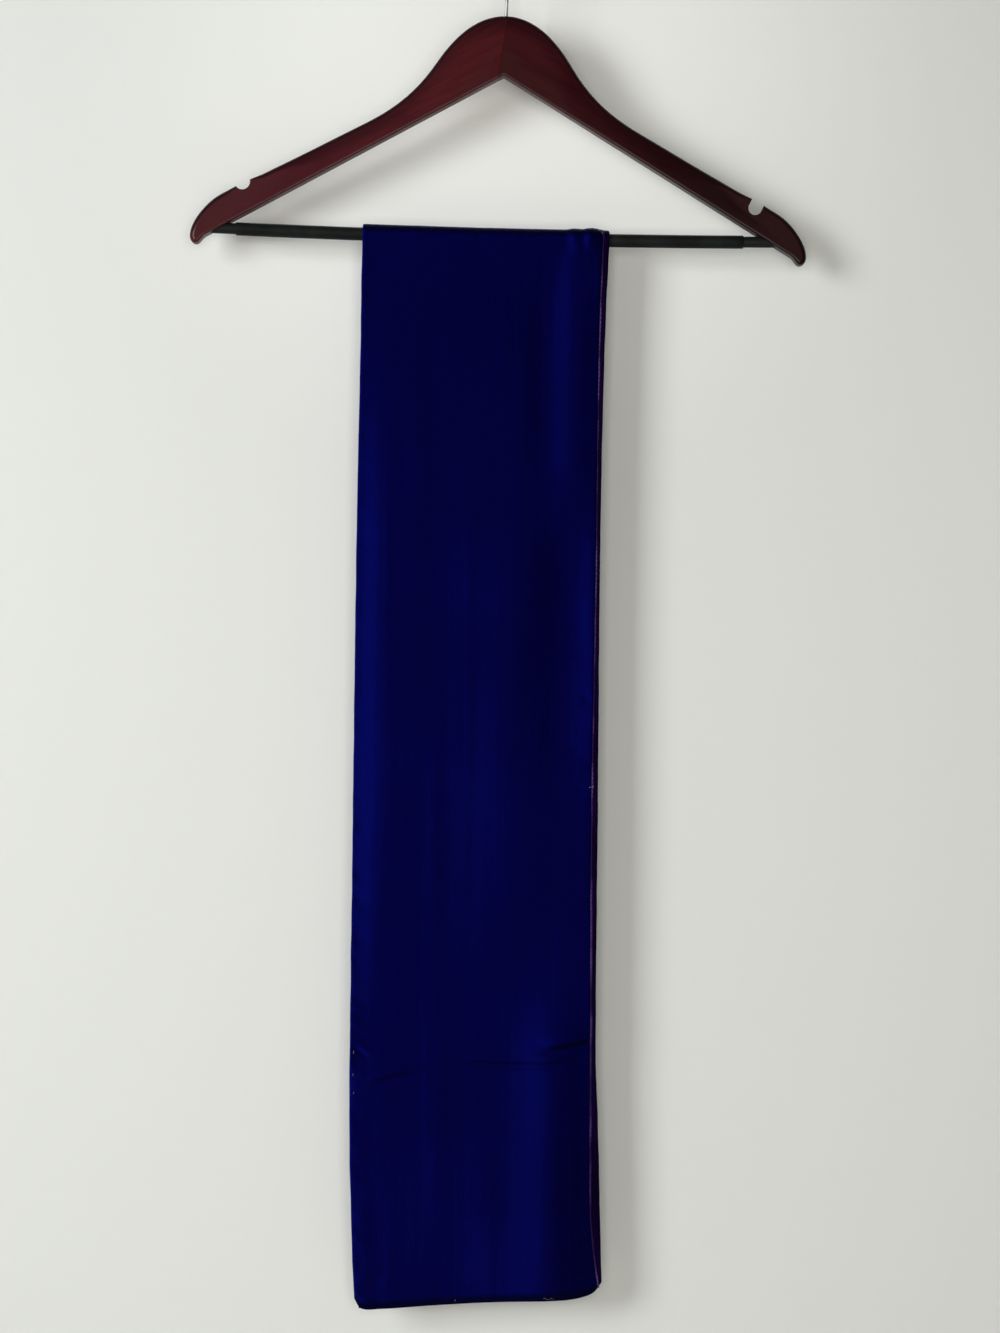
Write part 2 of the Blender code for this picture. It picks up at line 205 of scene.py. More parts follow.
def add_tube(
    shape: bmesh.types.BMesh,
    points: Sequence[Vector],
    radii: Sequence[float],
    sides: int,
) -> None:
    """Add a round tube with closed ends along points.

    Args:
        shape: the geometry to add to.
        points: the tube's centre line.
        radii: its radius at each point.
        sides: the number of sides round it.
    """
    across = None
    rings = []
    for index, point in enumerate(points):
        before = points[max(0, index - 1)]
        after = points[min(len(points) - 1, index + 1)]
        ahead = (after - before).normalized()
        if across is None:
            across = ahead.orthogonal().normalized()
        across = (across - ahead * across.dot(ahead)).normalized()
        beside = ahead.cross(across)
        ring = []
        for side in range(sides):
            turn = 2.0 * pi * side / sides
            place = point + radii[index] * (cos(turn) * across + sin(turn) * beside)
            ring.append(shape.verts.new(place))
        rings.append(ring)
    skin_between(shape, rings, closed=True)
    shape.faces.new(list(reversed(rings[0])))
    shape.faces.new(rings[-1])


def add_domed_tube(
    shape: bmesh.types.BMesh,
    points: Sequence[Vector],
    radius: float,
    sides: int,
    dome_steps: int = 4,
) -> None:
    """Add a round tube whose two ends are domes that reach past its end points.

    Args:
        shape: the geometry to add to.
        points: the tube's centre line, domes left out.
        radius: the tube's radius.
        sides: the number of sides round it.
        dome_steps: the number of rings in each dome.
    """
    first_way = (points[0] - points[1]).normalized()
    last_way = (points[-1] - points[-2]).normalized()
    turns = [DOME_TURN * step / dome_steps for step in range(1, dome_steps + 1)]
    dome_radii = [radius * cos(turn) for turn in turns]
    line = [points[0] + first_way * radius * sin(turn) for turn in reversed(turns)]
    line += points
    line += [points[-1] + last_way * radius * sin(turn) for turn in turns]
    radii = [*reversed(dome_radii), *([radius] * len(points)), *dome_radii]
    add_tube(shape, line, radii, sides)


def bake_modifiers(piece: bpy.types.Object) -> None:
    """Replace a piece's mesh by the one that its modifiers make.

    Args:
        piece: the piece, whose modifiers are used up.
    """
    graph = bpy.context.evaluated_depsgraph_get()
    mesh = bpy.data.meshes.new_from_object(piece.evaluated_get(graph))
    mesh.name = piece.name
    piece.modifiers.clear()
    piece.data = mesh


# Shared making of materials


class MixSocket(Enum):
    """The Mix node's inputs and output for colours, by their numbers."""

    SHARE = 0
    FIRST = 6
    SECOND = 7
    RESULT = 2


@dataclass(frozen=True)
class NodeBench:
    """Adds nodes to one node tree and joins them."""

    tree: bpy.types.NodeTree

    def add(self, kind: str, feeds: dict | None = None, **settings: object) -> bpy.types.Node:
        """Add a node.

        Args:
            kind: the node's type name.
            feeds: for each input, by name or number, a value or a socket to join to it.
            settings: the node's own options.

        Returns:
            The new node.
        """
        node = self.tree.nodes.new(kind)
        for option, value in settings.items():
            setattr(node, option, value)
        for name, value in (feeds or {}).items():
            self.feed(node.inputs[name], value)
        return node

    def feed(self, socket: Socket, value: Feed) -> None:
        """Join a socket to an input, or set the input's value.

        Args:
            socket: the input.
            value: the socket to join to it, or the value to set; a colour gets full alpha.
        """
        if isinstance(value, bpy.types.NodeSocket):
            self.tree.links.new(value, socket)
        elif isinstance(value, tuple):
            socket.default_value = (*value, 1.0)
        else:
            socket.default_value = value

    def maths(self, operation: str, first: Feed, second: Feed = 0.0) -> Socket:
        """The result of a Math node."""
        return self.add("ShaderNodeMath", {0: first, 1: second}, operation=operation).outputs[0]

    def total(self, *parts: tuple[Socket, float]) -> Socket:
        """Add up masks, each times its share.

        Args:
            parts: each mask with its share.

        Returns:
            The sum.
        """
        whole, *others = [self.maths("MULTIPLY", mask, share) for mask, share in parts]
        for other in others:
            whole = self.maths("ADD", whole, other)
        return whole

    def stretch(self, value: Feed, low: Feed, high: Feed) -> Socket:
        """Spread a value out softly between two marks.

        Args:
            value: the value.
            low: what becomes 0.
            high: what becomes 1.

        Returns:
            The spread value, held between 0 and 1.
        """
        feeds = {"Value": value, "From Min": low, "From Max": high}
        node = self.add("ShaderNodeMapRange", feeds, interpolation_type="SMOOTHSTEP")
        return node.outputs["Result"]

    def blend(self, share: Feed, first: Feed, second: Feed) -> Socket:
        """Blend two colours.

        Args:
            share: how much of the second one shows, from 0 to 1.
            first: the colour where the share is 0.
            second: the colour where it is 1.

        Returns:
            The blended colour.
        """
        node = self.add("ShaderNodeMix", data_type="RGBA")
        self.feed(node.inputs[MixSocket.SHARE.value], share)
        self.feed(node.inputs[MixSocket.FIRST.value], first)
        self.feed(node.inputs[MixSocket.SECOND.value], second)
        return node.outputs[MixSocket.RESULT.value]

    def effect(self, group: bpy.types.NodeTree, **feeds: Feed) -> Socket:
        """The mask or height that a shared effect puts out for these values."""
        return self.add("ShaderNodeGroup", feeds, node_tree=group).outputs[0]


class Effects:
    """The effects that more than one finish uses, each a shader node group built once."""

    def __init__(self) -> None:
        """Build every group."""
        self.mottle = self._mottle()
        self.streaks = self._streaks()
        self.weave = self._weave()
        self.facing = self._facing()
        self.specks = self._specks()
        self.wear = self._wear()

    @staticmethod
    def _open(
        name: str,
        inputs: dict[str, float | None],
        output: str,
    ) -> tuple[NodeBench, bpy.types.bpy_prop_collection, Socket]:
        """Start a group.

        Args:
            name: the group's name.
            inputs: each input's value, or None for a vector.
            output: the name of the mask or height that it puts out.

        Returns:
            A bench for the group's nodes, what is given to it, and where its result goes.
        """
        tree = bpy.data.node_groups.new(name, "ShaderNodeTree")
        for label, value in inputs.items():
            kind = "NodeSocketVector" if value is None else "NodeSocketFloat"
            socket = tree.interface.new_socket(label, in_out="INPUT", socket_type=kind)
            if value is not None:
                socket.default_value = value
        tree.interface.new_socket(output, in_out="OUTPUT", socket_type="NodeSocketFloat")
        bench = NodeBench(tree)
        given = bench.add("NodeGroupInput").outputs
        return bench, given, bench.add("NodeGroupOutput").inputs[output]

    def _mottle(self) -> bpy.types.NodeTree:
        """Build broad soft patches, as in any dyed, painted or stained surface.

        Returns:
            The group.
        """
        inputs = {"Vector": None, "Scale": 10.0, "Low": 0.35, "High": 0.65}
        bench, given, result = self._open("soft_mottle", inputs, "Mask")
        feeds = {"Vector": given["Vector"], "Scale": given["Scale"], "Detail": 3.0}
        patches = bench.add("ShaderNodeTexNoise", feeds).outputs[0]
        bench.feed(result, bench.stretch(patches, given["Low"], given["High"]))
        return bench.tree

    def _streaks(self) -> bpy.types.NodeTree:
        """Build thin streaks along Z, for the cloths' threads and, turned, the wood's grain.

        Returns:
            The group.
        """
        inputs = {"Vector": None, "Across": 900.0, "Along": 8.0, "Low": 0.35, "High": 0.65}
        bench, given, result = self._open("long_streaks", inputs, "Mask")
        feeds = {0: given["Across"], 1: given["Across"], 2: given["Along"]}
        scale = bench.add("ShaderNodeCombineXYZ", feeds).outputs[0]
        feeds = {0: given["Vector"], 1: scale}
        drawn = bench.add("ShaderNodeVectorMath", feeds, operation="MULTIPLY").outputs[0]
        feeds = {"Vector": drawn, "Scale": 1.0, "Detail": 4.0, "Roughness": 0.6}
        lines = bench.add("ShaderNodeTexNoise", feeds).outputs[0]
        bench.feed(result, bench.stretch(lines, given["Low"], given["High"]))
        return bench.tree

    def _weave(self) -> bpy.types.NodeTree:
        """Build threads that cross: a height that rises on each and falls between them.

        Returns:
            The group.
        """
        inputs = {"Vector": None, "Warp": 2200.0, "Weft": 1600.0, "Unevenness": 0.6}
        bench, given, result = self._open("fine_weave", inputs, "Height")
        axes = bench.add("ShaderNodeSeparateXYZ", {0: given["Vector"]}).outputs
        feeds = {"Vector": given["Vector"], "Scale": 400.0, "Detail": 2.0}
        wander = bench.add("ShaderNodeTexNoise", feeds).outputs[0]
        shift = bench.maths("MULTIPLY", wander, given["Unevenness"])
        heights = []
        for axis, pitch in (("X", "Warp"), ("Z", "Weft")):
            place = bench.maths("MULTIPLY", axes[axis], given[pitch])
            place = bench.maths("ADD", place, shift)
            heights.append(bench.maths("ABSOLUTE", bench.maths("SINE", place)))
        bench.feed(result, bench.maths("MULTIPLY", bench.maths("ADD", *heights), 0.5))
        return bench.tree

    def _facing(self) -> bpy.types.NodeTree:
        """Build the measure of how far the surface is turned towards a given way, used to paint
        light and shade into colours.

        Returns:
            The group.
        """
        inputs = {"Way": None, "Gain": 3.0, "Middle": 0.4}
        bench, given, result = self._open("turned_towards", inputs, "Mask")
        normal = bench.add("ShaderNodeNewGeometry").outputs["Normal"]
        feeds = {0: normal, 1: given["Way"]}
        tilt = bench.add("ShaderNodeVectorMath", feeds, operation="DOT_PRODUCT").outputs["Value"]
        spread = bench.maths("MULTIPLY", tilt, given["Gain"])
        bench.feed(result, bench.stretch(bench.maths("ADD", spread, given["Middle"]), 0.0, 1.0))
        return bench.tree

    def _specks(self) -> bpy.types.NodeTree:
        """Build sparse specks of dust and lint.

        Returns:
            The group.
        """
        inputs = {"Vector": None, "Scale": 300.0, "Size": 0.12, "Share": 0.1}
        bench, given, result = self._open("dust_specks", inputs, "Mask")
        feeds = {"Vector": given["Vector"], "Scale": given["Scale"]}
        cells = bench.add("ShaderNodeTexVoronoi", feeds).outputs
        near = bench.maths("LESS_THAN", cells["Distance"], given["Size"])
        chosen = bench.add("ShaderNodeSeparateColor", {0: cells["Color"]}).outputs[0]
        kept = bench.maths("LESS_THAN", chosen, given["Share"])
        bench.feed(result, bench.maths("MULTIPLY", near, kept))
        return bench.tree

    def _wear(self) -> bpy.types.NodeTree:
        """Build the mask of edges that stand out and are rubbed, broken up by a fine noise.

        Returns:
            The group.
        """
        inputs = {"Vector": None, "Start": 0.52, "Full": 0.6, "Breaks": 0.5}
        bench, given, result = self._open("rubbed_edges", inputs, "Mask")
        edges = bench.add("ShaderNodeNewGeometry").outputs["Pointiness"]
        edge = bench.stretch(edges, given["Start"], given["Full"])
        feeds = {"Vector": given["Vector"], "Scale": 120.0, "Detail": 4.0}
        patches = bench.add("ShaderNodeTexNoise", feeds).outputs[0]
        kept = bench.maths("SUBTRACT", 1.0, bench.maths("MULTIPLY", patches, given["Breaks"]))
        bench.feed(result, bench.maths("MULTIPLY", edge, kept))
        return bench.tree


@dataclass(frozen=True)
class Gloss:
    """The even values of a finish, which stand on the shader's own sockets."""

    roughness: float
    metallic: float = 0.0
    ior: float = 1.5
    specular: float = 0.5
    specular_tint: Colour = (1.0, 1.0, 1.0)
    sheen: float = 0.0
    sheen_roughness: float = 0.4
    sheen_tint: Colour = (1.0, 1.0, 1.0)
    coat: float = 0.0
    coat_roughness: float = 0.1
    anisotropy: float = 0.0

    def start(self, name: str) -> tuple[bpy.types.Material, NodeBench, bpy.types.Node]:
        """Start a material with these values.

        Args:
            name: the material's name.

        Returns:
            The material, a bench for its nodes, and its shader.
        """
        material = bpy.data.materials.new(name)
        material.use_nodes = True
        bench = NodeBench(material.node_tree)
        shader = material.node_tree.nodes["Principled BSDF"]
        values = {
            "Roughness": self.roughness,
            "Metallic": self.metallic,
            "IOR": self.ior,
            "Specular IOR Level": self.specular,
            "Specular Tint": self.specular_tint,
            "Sheen Weight": self.sheen,
            "Sheen Roughness": self.sheen_roughness,
            "Sheen Tint": self.sheen_tint,
            "Coat Weight": self.coat,
            "Coat Roughness": self.coat_roughness,
            "Anisotropic": self.anisotropy,
        }
        for socket, value in values.items():
            bench.feed(shader.inputs[socket], value)
        return material, bench, shader


def object_places(bench: NodeBench, turn: Vector = Vector()) -> Socket:
    """Give the surface's places in the object's own frame.

    Args:
        bench: the material's bench.
        turn: the angles by which the frame is turned, to lay a grain along a piece.

    Returns:
        The places.
    """
    places = bench.add("ShaderNodeTexCoord").outputs["Object"]
    if turn.length == 0.0:
        return places
    return bench.add("ShaderNodeMapping", {"Vector": places, "Rotation": turn}).outputs[0]


def vary_roughness(
    bench: NodeBench,
    shader: bpy.types.Node,
    mask: Socket,
    low: float,
    high: float,
) -> None:
    """Let a mask move the shader's roughness between two values.

    Args:
        bench: the material's bench.
        shader: its shader.
        mask: the mask, from 0 to 1.
        low: the roughness where the mask is 0.
        high: the roughness where the mask is 1.
    """
    spread = bench.add("ShaderNodeMapRange", {"Value": mask, "To Min": low, "To Max": high})
    bench.feed(shader.inputs["Roughness"], spread.outputs[0])


def add_bump(bench: NodeBench, shader: bpy.types.Node, height: Socket, depth: float) -> None:
    """Feed a height into the shader's normal.

    Args:
        bench: the material's bench.
        shader: its shader.
        height: the socket with the height, from 0 to 1.
        depth: how deep a height of 1 is, in metres.
    """
    bump = bench.add("ShaderNodeBump", {"Height": height, "Distance": depth, "Strength": 1.0})
    bench.feed(shader.inputs["Normal"], bump.outputs[0])


@dataclass(frozen=True)
class VelvetFinish:
    """Deep blue velvet, whose colour carries painted light and shade: lighter where it faces the
    light.

    The tone is the sum of painted light by how far the surface faces the light from the left, soft
    patches, bands, the pile's own streaks and painted light that rises low down, each with its
    share. The heights between which that painted light rises are in metres. Surfaces turned up
    or down get painted shade.
    """

    # From shade through body to glow: the colours over which the tone runs, mostly painted shade
    # and painted light by how the surface faces the light.
    shade: Colour = (0.0006, 0.0004, 0.0140)
    body: Colour = (0.0010, 0.0009, 0.0420)
    glow: Colour = (0.0016, 0.0026, 0.0960)
    # Painted shade on surfaces turned up or down, such as the bend's top and the hem's underside.
    painted_turn_shade: Colour = (0.0008, 0.0006, 0.0080)
    lint: Colour = (0.12, 0.12, 0.20)
    # The way the painted light favours: surfaces that face left and a little down are painted
    # lighter.
    lean: Vector = field(default_factory=lambda: Vector((-0.97, 0.0, -0.20)))
    gain: float = 3.2
    middle: float = 0.40
    painted_light_share: float = 0.74
    patch_share: float = 0.12
    band_share: float = 0.09
    pile_share: float = 0.10
    # Painted light low down: the tone rises towards the bottom, between the two heights below.
    painted_low_light_share: float = 0.14
    even_from: float = -0.21
    painted_low_light_full: float = -0.68
    body_at: float = 0.5
    painted_light_from: float = 0.45
    painted_turn_shade_share: float = 0.9
    pile_depth: float = 0.12 * MM
    gloss: Gloss = Gloss(
        roughness=0.72,
        specular=0.10,
        specular_tint=(0.0, 0.02, 1.0),
        sheen=0.09,
        sheen_roughness=0.35,
        sheen_tint=(0.0, 0.02, 1.0),
    )

    def make(self, effects: Effects) -> bpy.types.Material:
        """Build the material.

        Args:
            effects: the shared groups.

        Returns:
            The velvet's material.
        """
        material, bench, shader = self.gloss.start("blue_velvet")
        places = object_places(bench)
        up = Vector((0.0, 0.0, 1.0))
        # Painted light and shade: lighter where the surface faces the light's way, painted shade
        # where it faces up or down.
        painted_light_facing = bench.effect(effects.facing, Way=self.lean, Gain=self.gain, Middle=self.middle)
        painted_shade_up = bench.effect(effects.facing, Way=up, Gain=1.5, Middle=-0.15)
        painted_shade_down = bench.effect(effects.facing, Way=-up, Gain=4.2, Middle=-0.35)
        patches = bench.effect(effects.mottle, Vector=places, Scale=9.0, Low=0.3, High=0.7)
        bands = bench.effect(
            effects.streaks, Vector=places, Across=260.0, Along=5.0, Low=0.3, High=0.75
        )
        pile = bench.effect(
            effects.streaks, Vector=places, Across=1500.0, Along=160.0, Low=0.3, High=0.7
        )
        lint = bench.effect(effects.specks, Vector=places, Scale=90.0, Size=0.03, Share=0.02)
        height = bench.add("ShaderNodeSeparateXYZ", {"Vector": places}).outputs["Z"]
        # The tone: painted light by facing and low down, with random patches, bands and streaks.
        tone = bench.total(
            (painted_light_facing, self.painted_light_share),
            (patches, self.patch_share),
            (bands, self.band_share),
            (pile, self.pile_share),
            (bench.stretch(height, self.even_from, self.painted_low_light_full), self.painted_low_light_share),
        )
        colour = bench.blend(bench.stretch(tone, 0.0, self.body_at), self.shade, self.body)
        colour = bench.blend(bench.stretch(tone, self.painted_light_from, 1.0), colour, self.glow)
        # Painted shade where the surface faces up or down.
        turned = bench.maths("MAXIMUM", painted_shade_up, painted_shade_down)
        turned = bench.maths("MULTIPLY", turned, self.painted_turn_shade_share)
        colour = bench.blend(turned, colour, self.painted_turn_shade)
        bench.feed(shader.inputs["Base Color"], bench.blend(lint, colour, self.lint))
        vary_roughness(bench, shader, pile, low=0.66, high=0.82)
        add_bump(bench, shader, pile, self.pile_depth)
        return material


@dataclass(frozen=True)
class BackingFinish:
    """Dark plum backing cloth: a close smooth weave with a low gleam along its threads."""

    shade: Colour = (0.0014, 0.0003, 0.0070)
    body: Colour = (0.0038, 0.0006, 0.0200)
    thread: Colour = (0.012, 0.003, 0.040)
    lint: Colour = (0.1, 0.09, 0.12)
    thread_share: float = 0.5
    weave_depth: float = 0.05 * MM
    gloss: Gloss = Gloss(
        roughness=0.5,
        specular=0.03,
        specular_tint=(0.4, 0.1, 0.9),
        sheen=0.01,
        sheen_roughness=0.4,
        sheen_tint=(0.5, 0.2, 0.7),
        anisotropy=0.35,
    )

    def make(self, effects: Effects) -> bpy.types.Material:
        """Build the material.

        Args:
            effects: the shared groups.

        Returns:
            The backing's material.
        """
        material, bench, shader = self.gloss.start("plum_backing")
        places = object_places(bench)
        weave = bench.effect(effects.weave, Vector=places, Warp=5200.0, Weft=4200.0)
        patches = bench.effect(effects.mottle, Vector=places, Scale=14.0, Low=0.3, High=0.7)
        slubs = bench.effect(
            effects.streaks, Vector=places, Across=1200.0, Along=30.0, Low=0.4, High=0.8
        )
        lint = bench.effect(effects.specks, Vector=places, Scale=110.0, Size=0.04, Share=0.03)
        colour = bench.blend(patches, self.shade, self.body)
        threads = bench.maths("MULTIPLY", slubs, self.thread_share)
        colour = bench.blend(threads, colour, self.thread)
        bench.feed(shader.inputs["Base Color"], bench.blend(lint, colour, self.lint))
        vary_roughness(bench, shader, slubs, low=0.44, high=0.58)
        add_bump(bench, shader, weave, self.weave_depth)
        return material


@dataclass(frozen=True)
class ThreadFinish:
    """Sewing thread, loose fibre or the rolled edge of the seam, brighter in some stretches."""

    name: str
    dull: Colour
    bright: Colour
    ply_depth: float = 0.04 * MM
    gloss: Gloss = Gloss(roughness=0.5, specular=0.1, specular_tint=(0.6, 0.3, 1.0))

    def make(self, effects: Effects) -> bpy.types.Material:
        """Build the material.

        Args:
            effects: the shared groups.

        Returns:
            The thread's material.
        """
        material, bench, shader = self.gloss.start(self.name)
        places = object_places(bench)
        stretches = bench.effect(
            effects.streaks, Vector=places, Across=60.0, Along=26.0, Low=0.42, High=0.66
        )
        ply = bench.effect(effects.weave, Vector=places, Warp=4000.0, Weft=9000.0, Unevenness=1.5)
        bench.feed(shader.inputs["Base Color"], bench.blend(stretches, self.dull, self.bright))
        add_bump(bench, shader, ply, self.ply_depth)
        return material


@dataclass(frozen=True)
class LacquerFinish:
    """Dark cherry stain under clear lacquer, with its grain along the arm, and painted light and
    shade:
    shade where it faces up, light and shade towards the tip, and a greyer painted highlight with
    the wear on rounded edges.
    """

    side: Side
    slope: float
    stain: Colour
    warm: Colour
    # Painted shading towards the tip: nearly black painted shade on the right arm, a purplish
    # painted tone on the left.
    tip: Colour
    painted_tip_shading_share: float
    # The pores' colour, also used for painted shade where the lacquer faces up.
    pore_and_painted_shade: Colour = (0.012, 0.003, 0.004)
    # Wear on rounded edges, partly a painted highlight: greyer than the stain.
    worn_and_painted_highlight: Colour = (0.050, 0.014, 0.014)
    dust: Colour = (0.12, 0.09, 0.09)
    grain_share: float = 0.6
    patch_share: float = 0.4
    # The painted tip shading grows from the crown to full at this distance out, in metres.
    painted_tip_shading_reach: float = 0.19
    # Share of painted shade where the lacquer faces up.
    painted_top_shade_share: float = 0.8
    pore_share: float = 0.4
    worn_and_highlight_share: float = 0.5
    dust_share: float = 0.4
    pore_depth: float = 0.03 * MM
    gloss: Gloss = Gloss(roughness=0.6, specular=0.05, coat=0.22, coat_roughness=0.1)

    def make(self, effects: Effects) -> bpy.types.Material:
        """Build the material.

        Args:
            effects: the shared groups.

        Returns:
            The arm's material.
        """
        material, bench, shader = self.gloss.start(f"cherry_lacquer_painted_shading_{self.side.name.lower()}")
        turn = Vector((0.0, 0.5 * pi - self.side.value * self.slope, 0.0))
        places = object_places(bench, turn)
        grain = bench.effect(
            effects.streaks, Vector=places, Across=330.0, Along=9.0, Low=0.36, High=0.68
        )
        pores = bench.effect(
            effects.streaks, Vector=places, Across=1900.0, Along=60.0, Low=0.60, High=0.74
        )
        patches = bench.effect(effects.mottle, Vector=places, Scale=13.0, Low=0.32, High=0.68)
        # Painted shade where the lacquer faces up.
        painted_shade_up = bench.effect(effects.facing, Way=Vector((0.0, 0.0, 1.0)), Gain=4.5, Middle=0.0)
        # Worn edges, which also carry a painted highlight.
        rubbed = bench.effect(effects.wear, Vector=places, Start=0.53, Full=0.62, Breaks=0.6)
        dust = bench.effect(effects.specks, Vector=places, Scale=240.0, Size=0.05, Share=0.03)
        across = bench.add("ShaderNodeSeparateXYZ", {0: object_places(bench)}).outputs["X"]
        outward = bench.maths("MULTIPLY", across, self.side.value)
        tone = bench.total((grain, self.grain_share), (patches, self.patch_share))
        colour = bench.blend(tone, self.stain, self.warm)
        # Painted shading towards the tip, painted shade on top, pores, wear with a painted
        # highlight, and dust.
        layers = (
            (bench.stretch(outward, 0.0, self.painted_tip_shading_reach), self.painted_tip_shading_share, self.tip),
            (painted_shade_up, self.painted_top_shade_share, self.pore_and_painted_shade),
            (pores, self.pore_share, self.pore_and_painted_shade),
            (rubbed, self.worn_and_highlight_share, self.worn_and_painted_highlight),
            (dust, self.dust_share, self.dust),
        )
        for mask, share, over in layers:
            colour = bench.blend(bench.maths("MULTIPLY", mask, share), colour, over)
        bench.feed(shader.inputs["Base Color"], colour)
        vary_roughness(bench, shader, patches, low=0.36, high=0.48)
        add_bump(bench, shader, bench.maths("SUBTRACT", 1.0, pores), self.pore_depth)
        return material


@dataclass(frozen=True)
class SleeveFinish:
    """Dark grey non-slip sleeve, matt, with a faint cross-hatch and dust in it."""

    deep: Colour = (0.0035, 0.0050, 0.0050)
    face: Colour = (0.0080, 0.0110, 0.0105)
    dust: Colour = (0.12, 0.12, 0.12)
    dust_share: float = 0.3
    hatch_depth: float = 0.06 * MM
    gloss: Gloss = Gloss(roughness=0.62, specular=0.12, sheen=0.02, sheen_roughness=0.5)

    def make(self, effects: Effects) -> bpy.types.Material:
        """Build the material.

        Args:
            effects: the shared groups.

        Returns:
            The sleeve's material.
        """
        material, bench, shader = self.gloss.start("matt_sleeve")
        places = object_places(bench)
        hatch = bench.effect(effects.weave, Vector=places, Warp=2600.0, Weft=2600.0, Unevenness=1.0)
        patches = bench.effect(effects.mottle, Vector=places, Scale=60.0, Low=0.3, High=0.7)
        dust = bench.effect(effects.specks, Vector=places, Scale=420.0, Size=0.12, Share=0.08)
        rubbed = bench.effect(effects.wear, Vector=places, Start=0.55, Full=0.65, Breaks=0.5)
        colour = bench.blend(patches, self.deep, self.face)
        share = bench.maths("MULTIPLY", dust, self.dust_share)
        bench.feed(shader.inputs["Base Color"], bench.blend(share, colour, self.dust))
        vary_roughness(bench, shader, rubbed, low=0.62, high=0.5)
        add_bump(bench, shader, hatch, self.hatch_depth)
        return material


@dataclass(frozen=True)
class RodFinish:
    """Black paint on the dowel, thin over the wood's grain."""

    paint: Colour = (0.011, 0.013, 0.013)
    bare: Colour = (0.050, 0.030, 0.022)
    grain_depth: float = 0.03 * MM
    gloss: Gloss = Gloss(roughness=0.55, specular=0.07, coat=0.02, coat_roughness=0.3)

    def make(self, effects: Effects) -> bpy.types.Material:
        """Build the material.

        Args:
            effects: the shared groups.

        Returns:
            The rod's material.
        """
        material, bench, shader = self.gloss.start("painted_dowel")
        places = object_places(bench, Vector((0.0, 0.5 * pi, 0.0)))
        grain = bench.effect(
            effects.streaks, Vector=places, Across=900.0, Along=20.0, Low=0.4, High=0.7
        )
        rubbed = bench.effect(effects.wear, Vector=places, Start=0.54, Full=0.64, Breaks=0.8)
        bench.feed(shader.inputs["Base Color"], bench.blend(rubbed, self.paint, self.bare))
        vary_roughness(bench, shader, grain, low=0.48, high=0.62)
        add_bump(bench, shader, grain, self.grain_depth)
        return material


@dataclass(frozen=True)
class SteelFinish:
    """Bright steel wire with fine drawing marks."""

    bright: Colour = (0.72, 0.73, 0.74)
    dull: Colour = (0.50, 0.50, 0.51)
    mark_depth: float = 0.01 * MM
    gloss: Gloss = Gloss(roughness=0.28, metallic=1.0)

    def make(self, effects: Effects) -> bpy.types.Material:
        """Build the material.

        Args:
            effects: the shared groups.

        Returns:
            The wire's material.
        """
        material, bench, shader = self.gloss.start("drawn_steel")
        places = object_places(bench)
        marks = bench.effect(
            effects.streaks, Vector=places, Across=2400.0, Along=200.0, Low=0.3, High=0.7
        )
        patches = bench.effect(effects.mottle, Vector=places, Scale=90.0, Low=0.4, High=0.7)
        bench.feed(shader.inputs["Base Color"], bench.blend(patches, self.bright, self.dull))
        vary_roughness(bench, shader, marks, low=0.36, high=0.54)
        add_bump(bench, shader, marks, self.mark_depth)
        return material


# The hanger


@dataclass(frozen=True)
class HangerFit:
    """Where the hanger hangs and where its bar runs, in metres."""

    tilt: float = radians(1.65)
    crown_drop: float = 60.0 * MM
    bar_y: float = 13.8 * MM
    bar_middle_x: float = -8.0 * MM
    bar_middle_z: float = -216.1 * MM
    bar_slope: float = tan(radians(-1.02))
    bar_sag: float = 2.2 * MM
    bar_half_span: float = 200.0 * MM

    def bar_axis(self, x: float) -> Vector:
        """Find the bar's axis, which sags in its middle.

        Args:
            x: the place across.

        Returns:
            The axis there.
        """
        along = (x - self.bar_middle_x) / self.bar_half_span
        z = self.bar_middle_z + self.bar_slope * (x - self.bar_middle_x) + self.bar_sag * along**2
        return Vector((x, self.bar_y, z))

    def hung(self) -> Matrix:
        """The turn of the hanger about the rail that holds its hook."""
        return Matrix.Rotation(self.tilt, 4, "Y")


@dataclass(frozen=True)
class WireHook:
    """The hook: an open loop, a bend back under it, and a stem into the crown."""

    fit: HangerFit
    wire_radius: float = 1.3 * MM
    inner_radius: float = 16.5 * MM
    open_end: float = radians(195.0)
    lower_end: float = radians(-65.0)
    stem_depth: float = 13.0 * MM
    loop_steps: int = 56
    bend_steps: int = 14
    sides: int = 20

    def line(self) -> list[Vector]:
        """Lay out the wire's centre line, before the hanger's tilt.

        Returns:
            Its points, from the open end to the stem's foot.
        """
        loop = self.inner_radius + self.wire_radius
        centre = Vector((0.0, 0.0, -self.inner_radius))
        points = []
        for turn in even_steps(self.open_end, self.lower_end, self.loop_steps):
            points.append(centre + loop * Vector((cos(turn), 0.0, sin(turn))))
        lean = cos(self.lower_end)
        bend = loop * lean / (1.0 - lean)
        bend_centre = centre + (loop + bend) * Vector((lean, 0.0, sin(self.lower_end)))
        for turn in even_steps(pi + self.lower_end, pi, self.bend_steps)[1:]:
            points.append(bend_centre + bend * Vector((cos(turn), 0.0, sin(turn))))
        points.append(Vector((0.0, 0.0, -self.fit.crown_drop)))
        points.append(Vector((0.0, 0.0, -self.fit.crown_drop - self.stem_depth)))
        return points

    def build(self, effects: Effects) -> bpy.types.Object:
        """Build and dress the hook.

        Args:
            effects: the shared groups.

        Returns:
            The hook.
        """
        shape = bmesh.new()
        add_domed_tube(shape, self.line(), self.wire_radius, self.sides)
        shape.transform(self.fit.hung())
        hook = new_piece("wire_hook", shape)
        hook.data.materials.append(SteelFinish().make(effects))
        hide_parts("hook")
        return hook


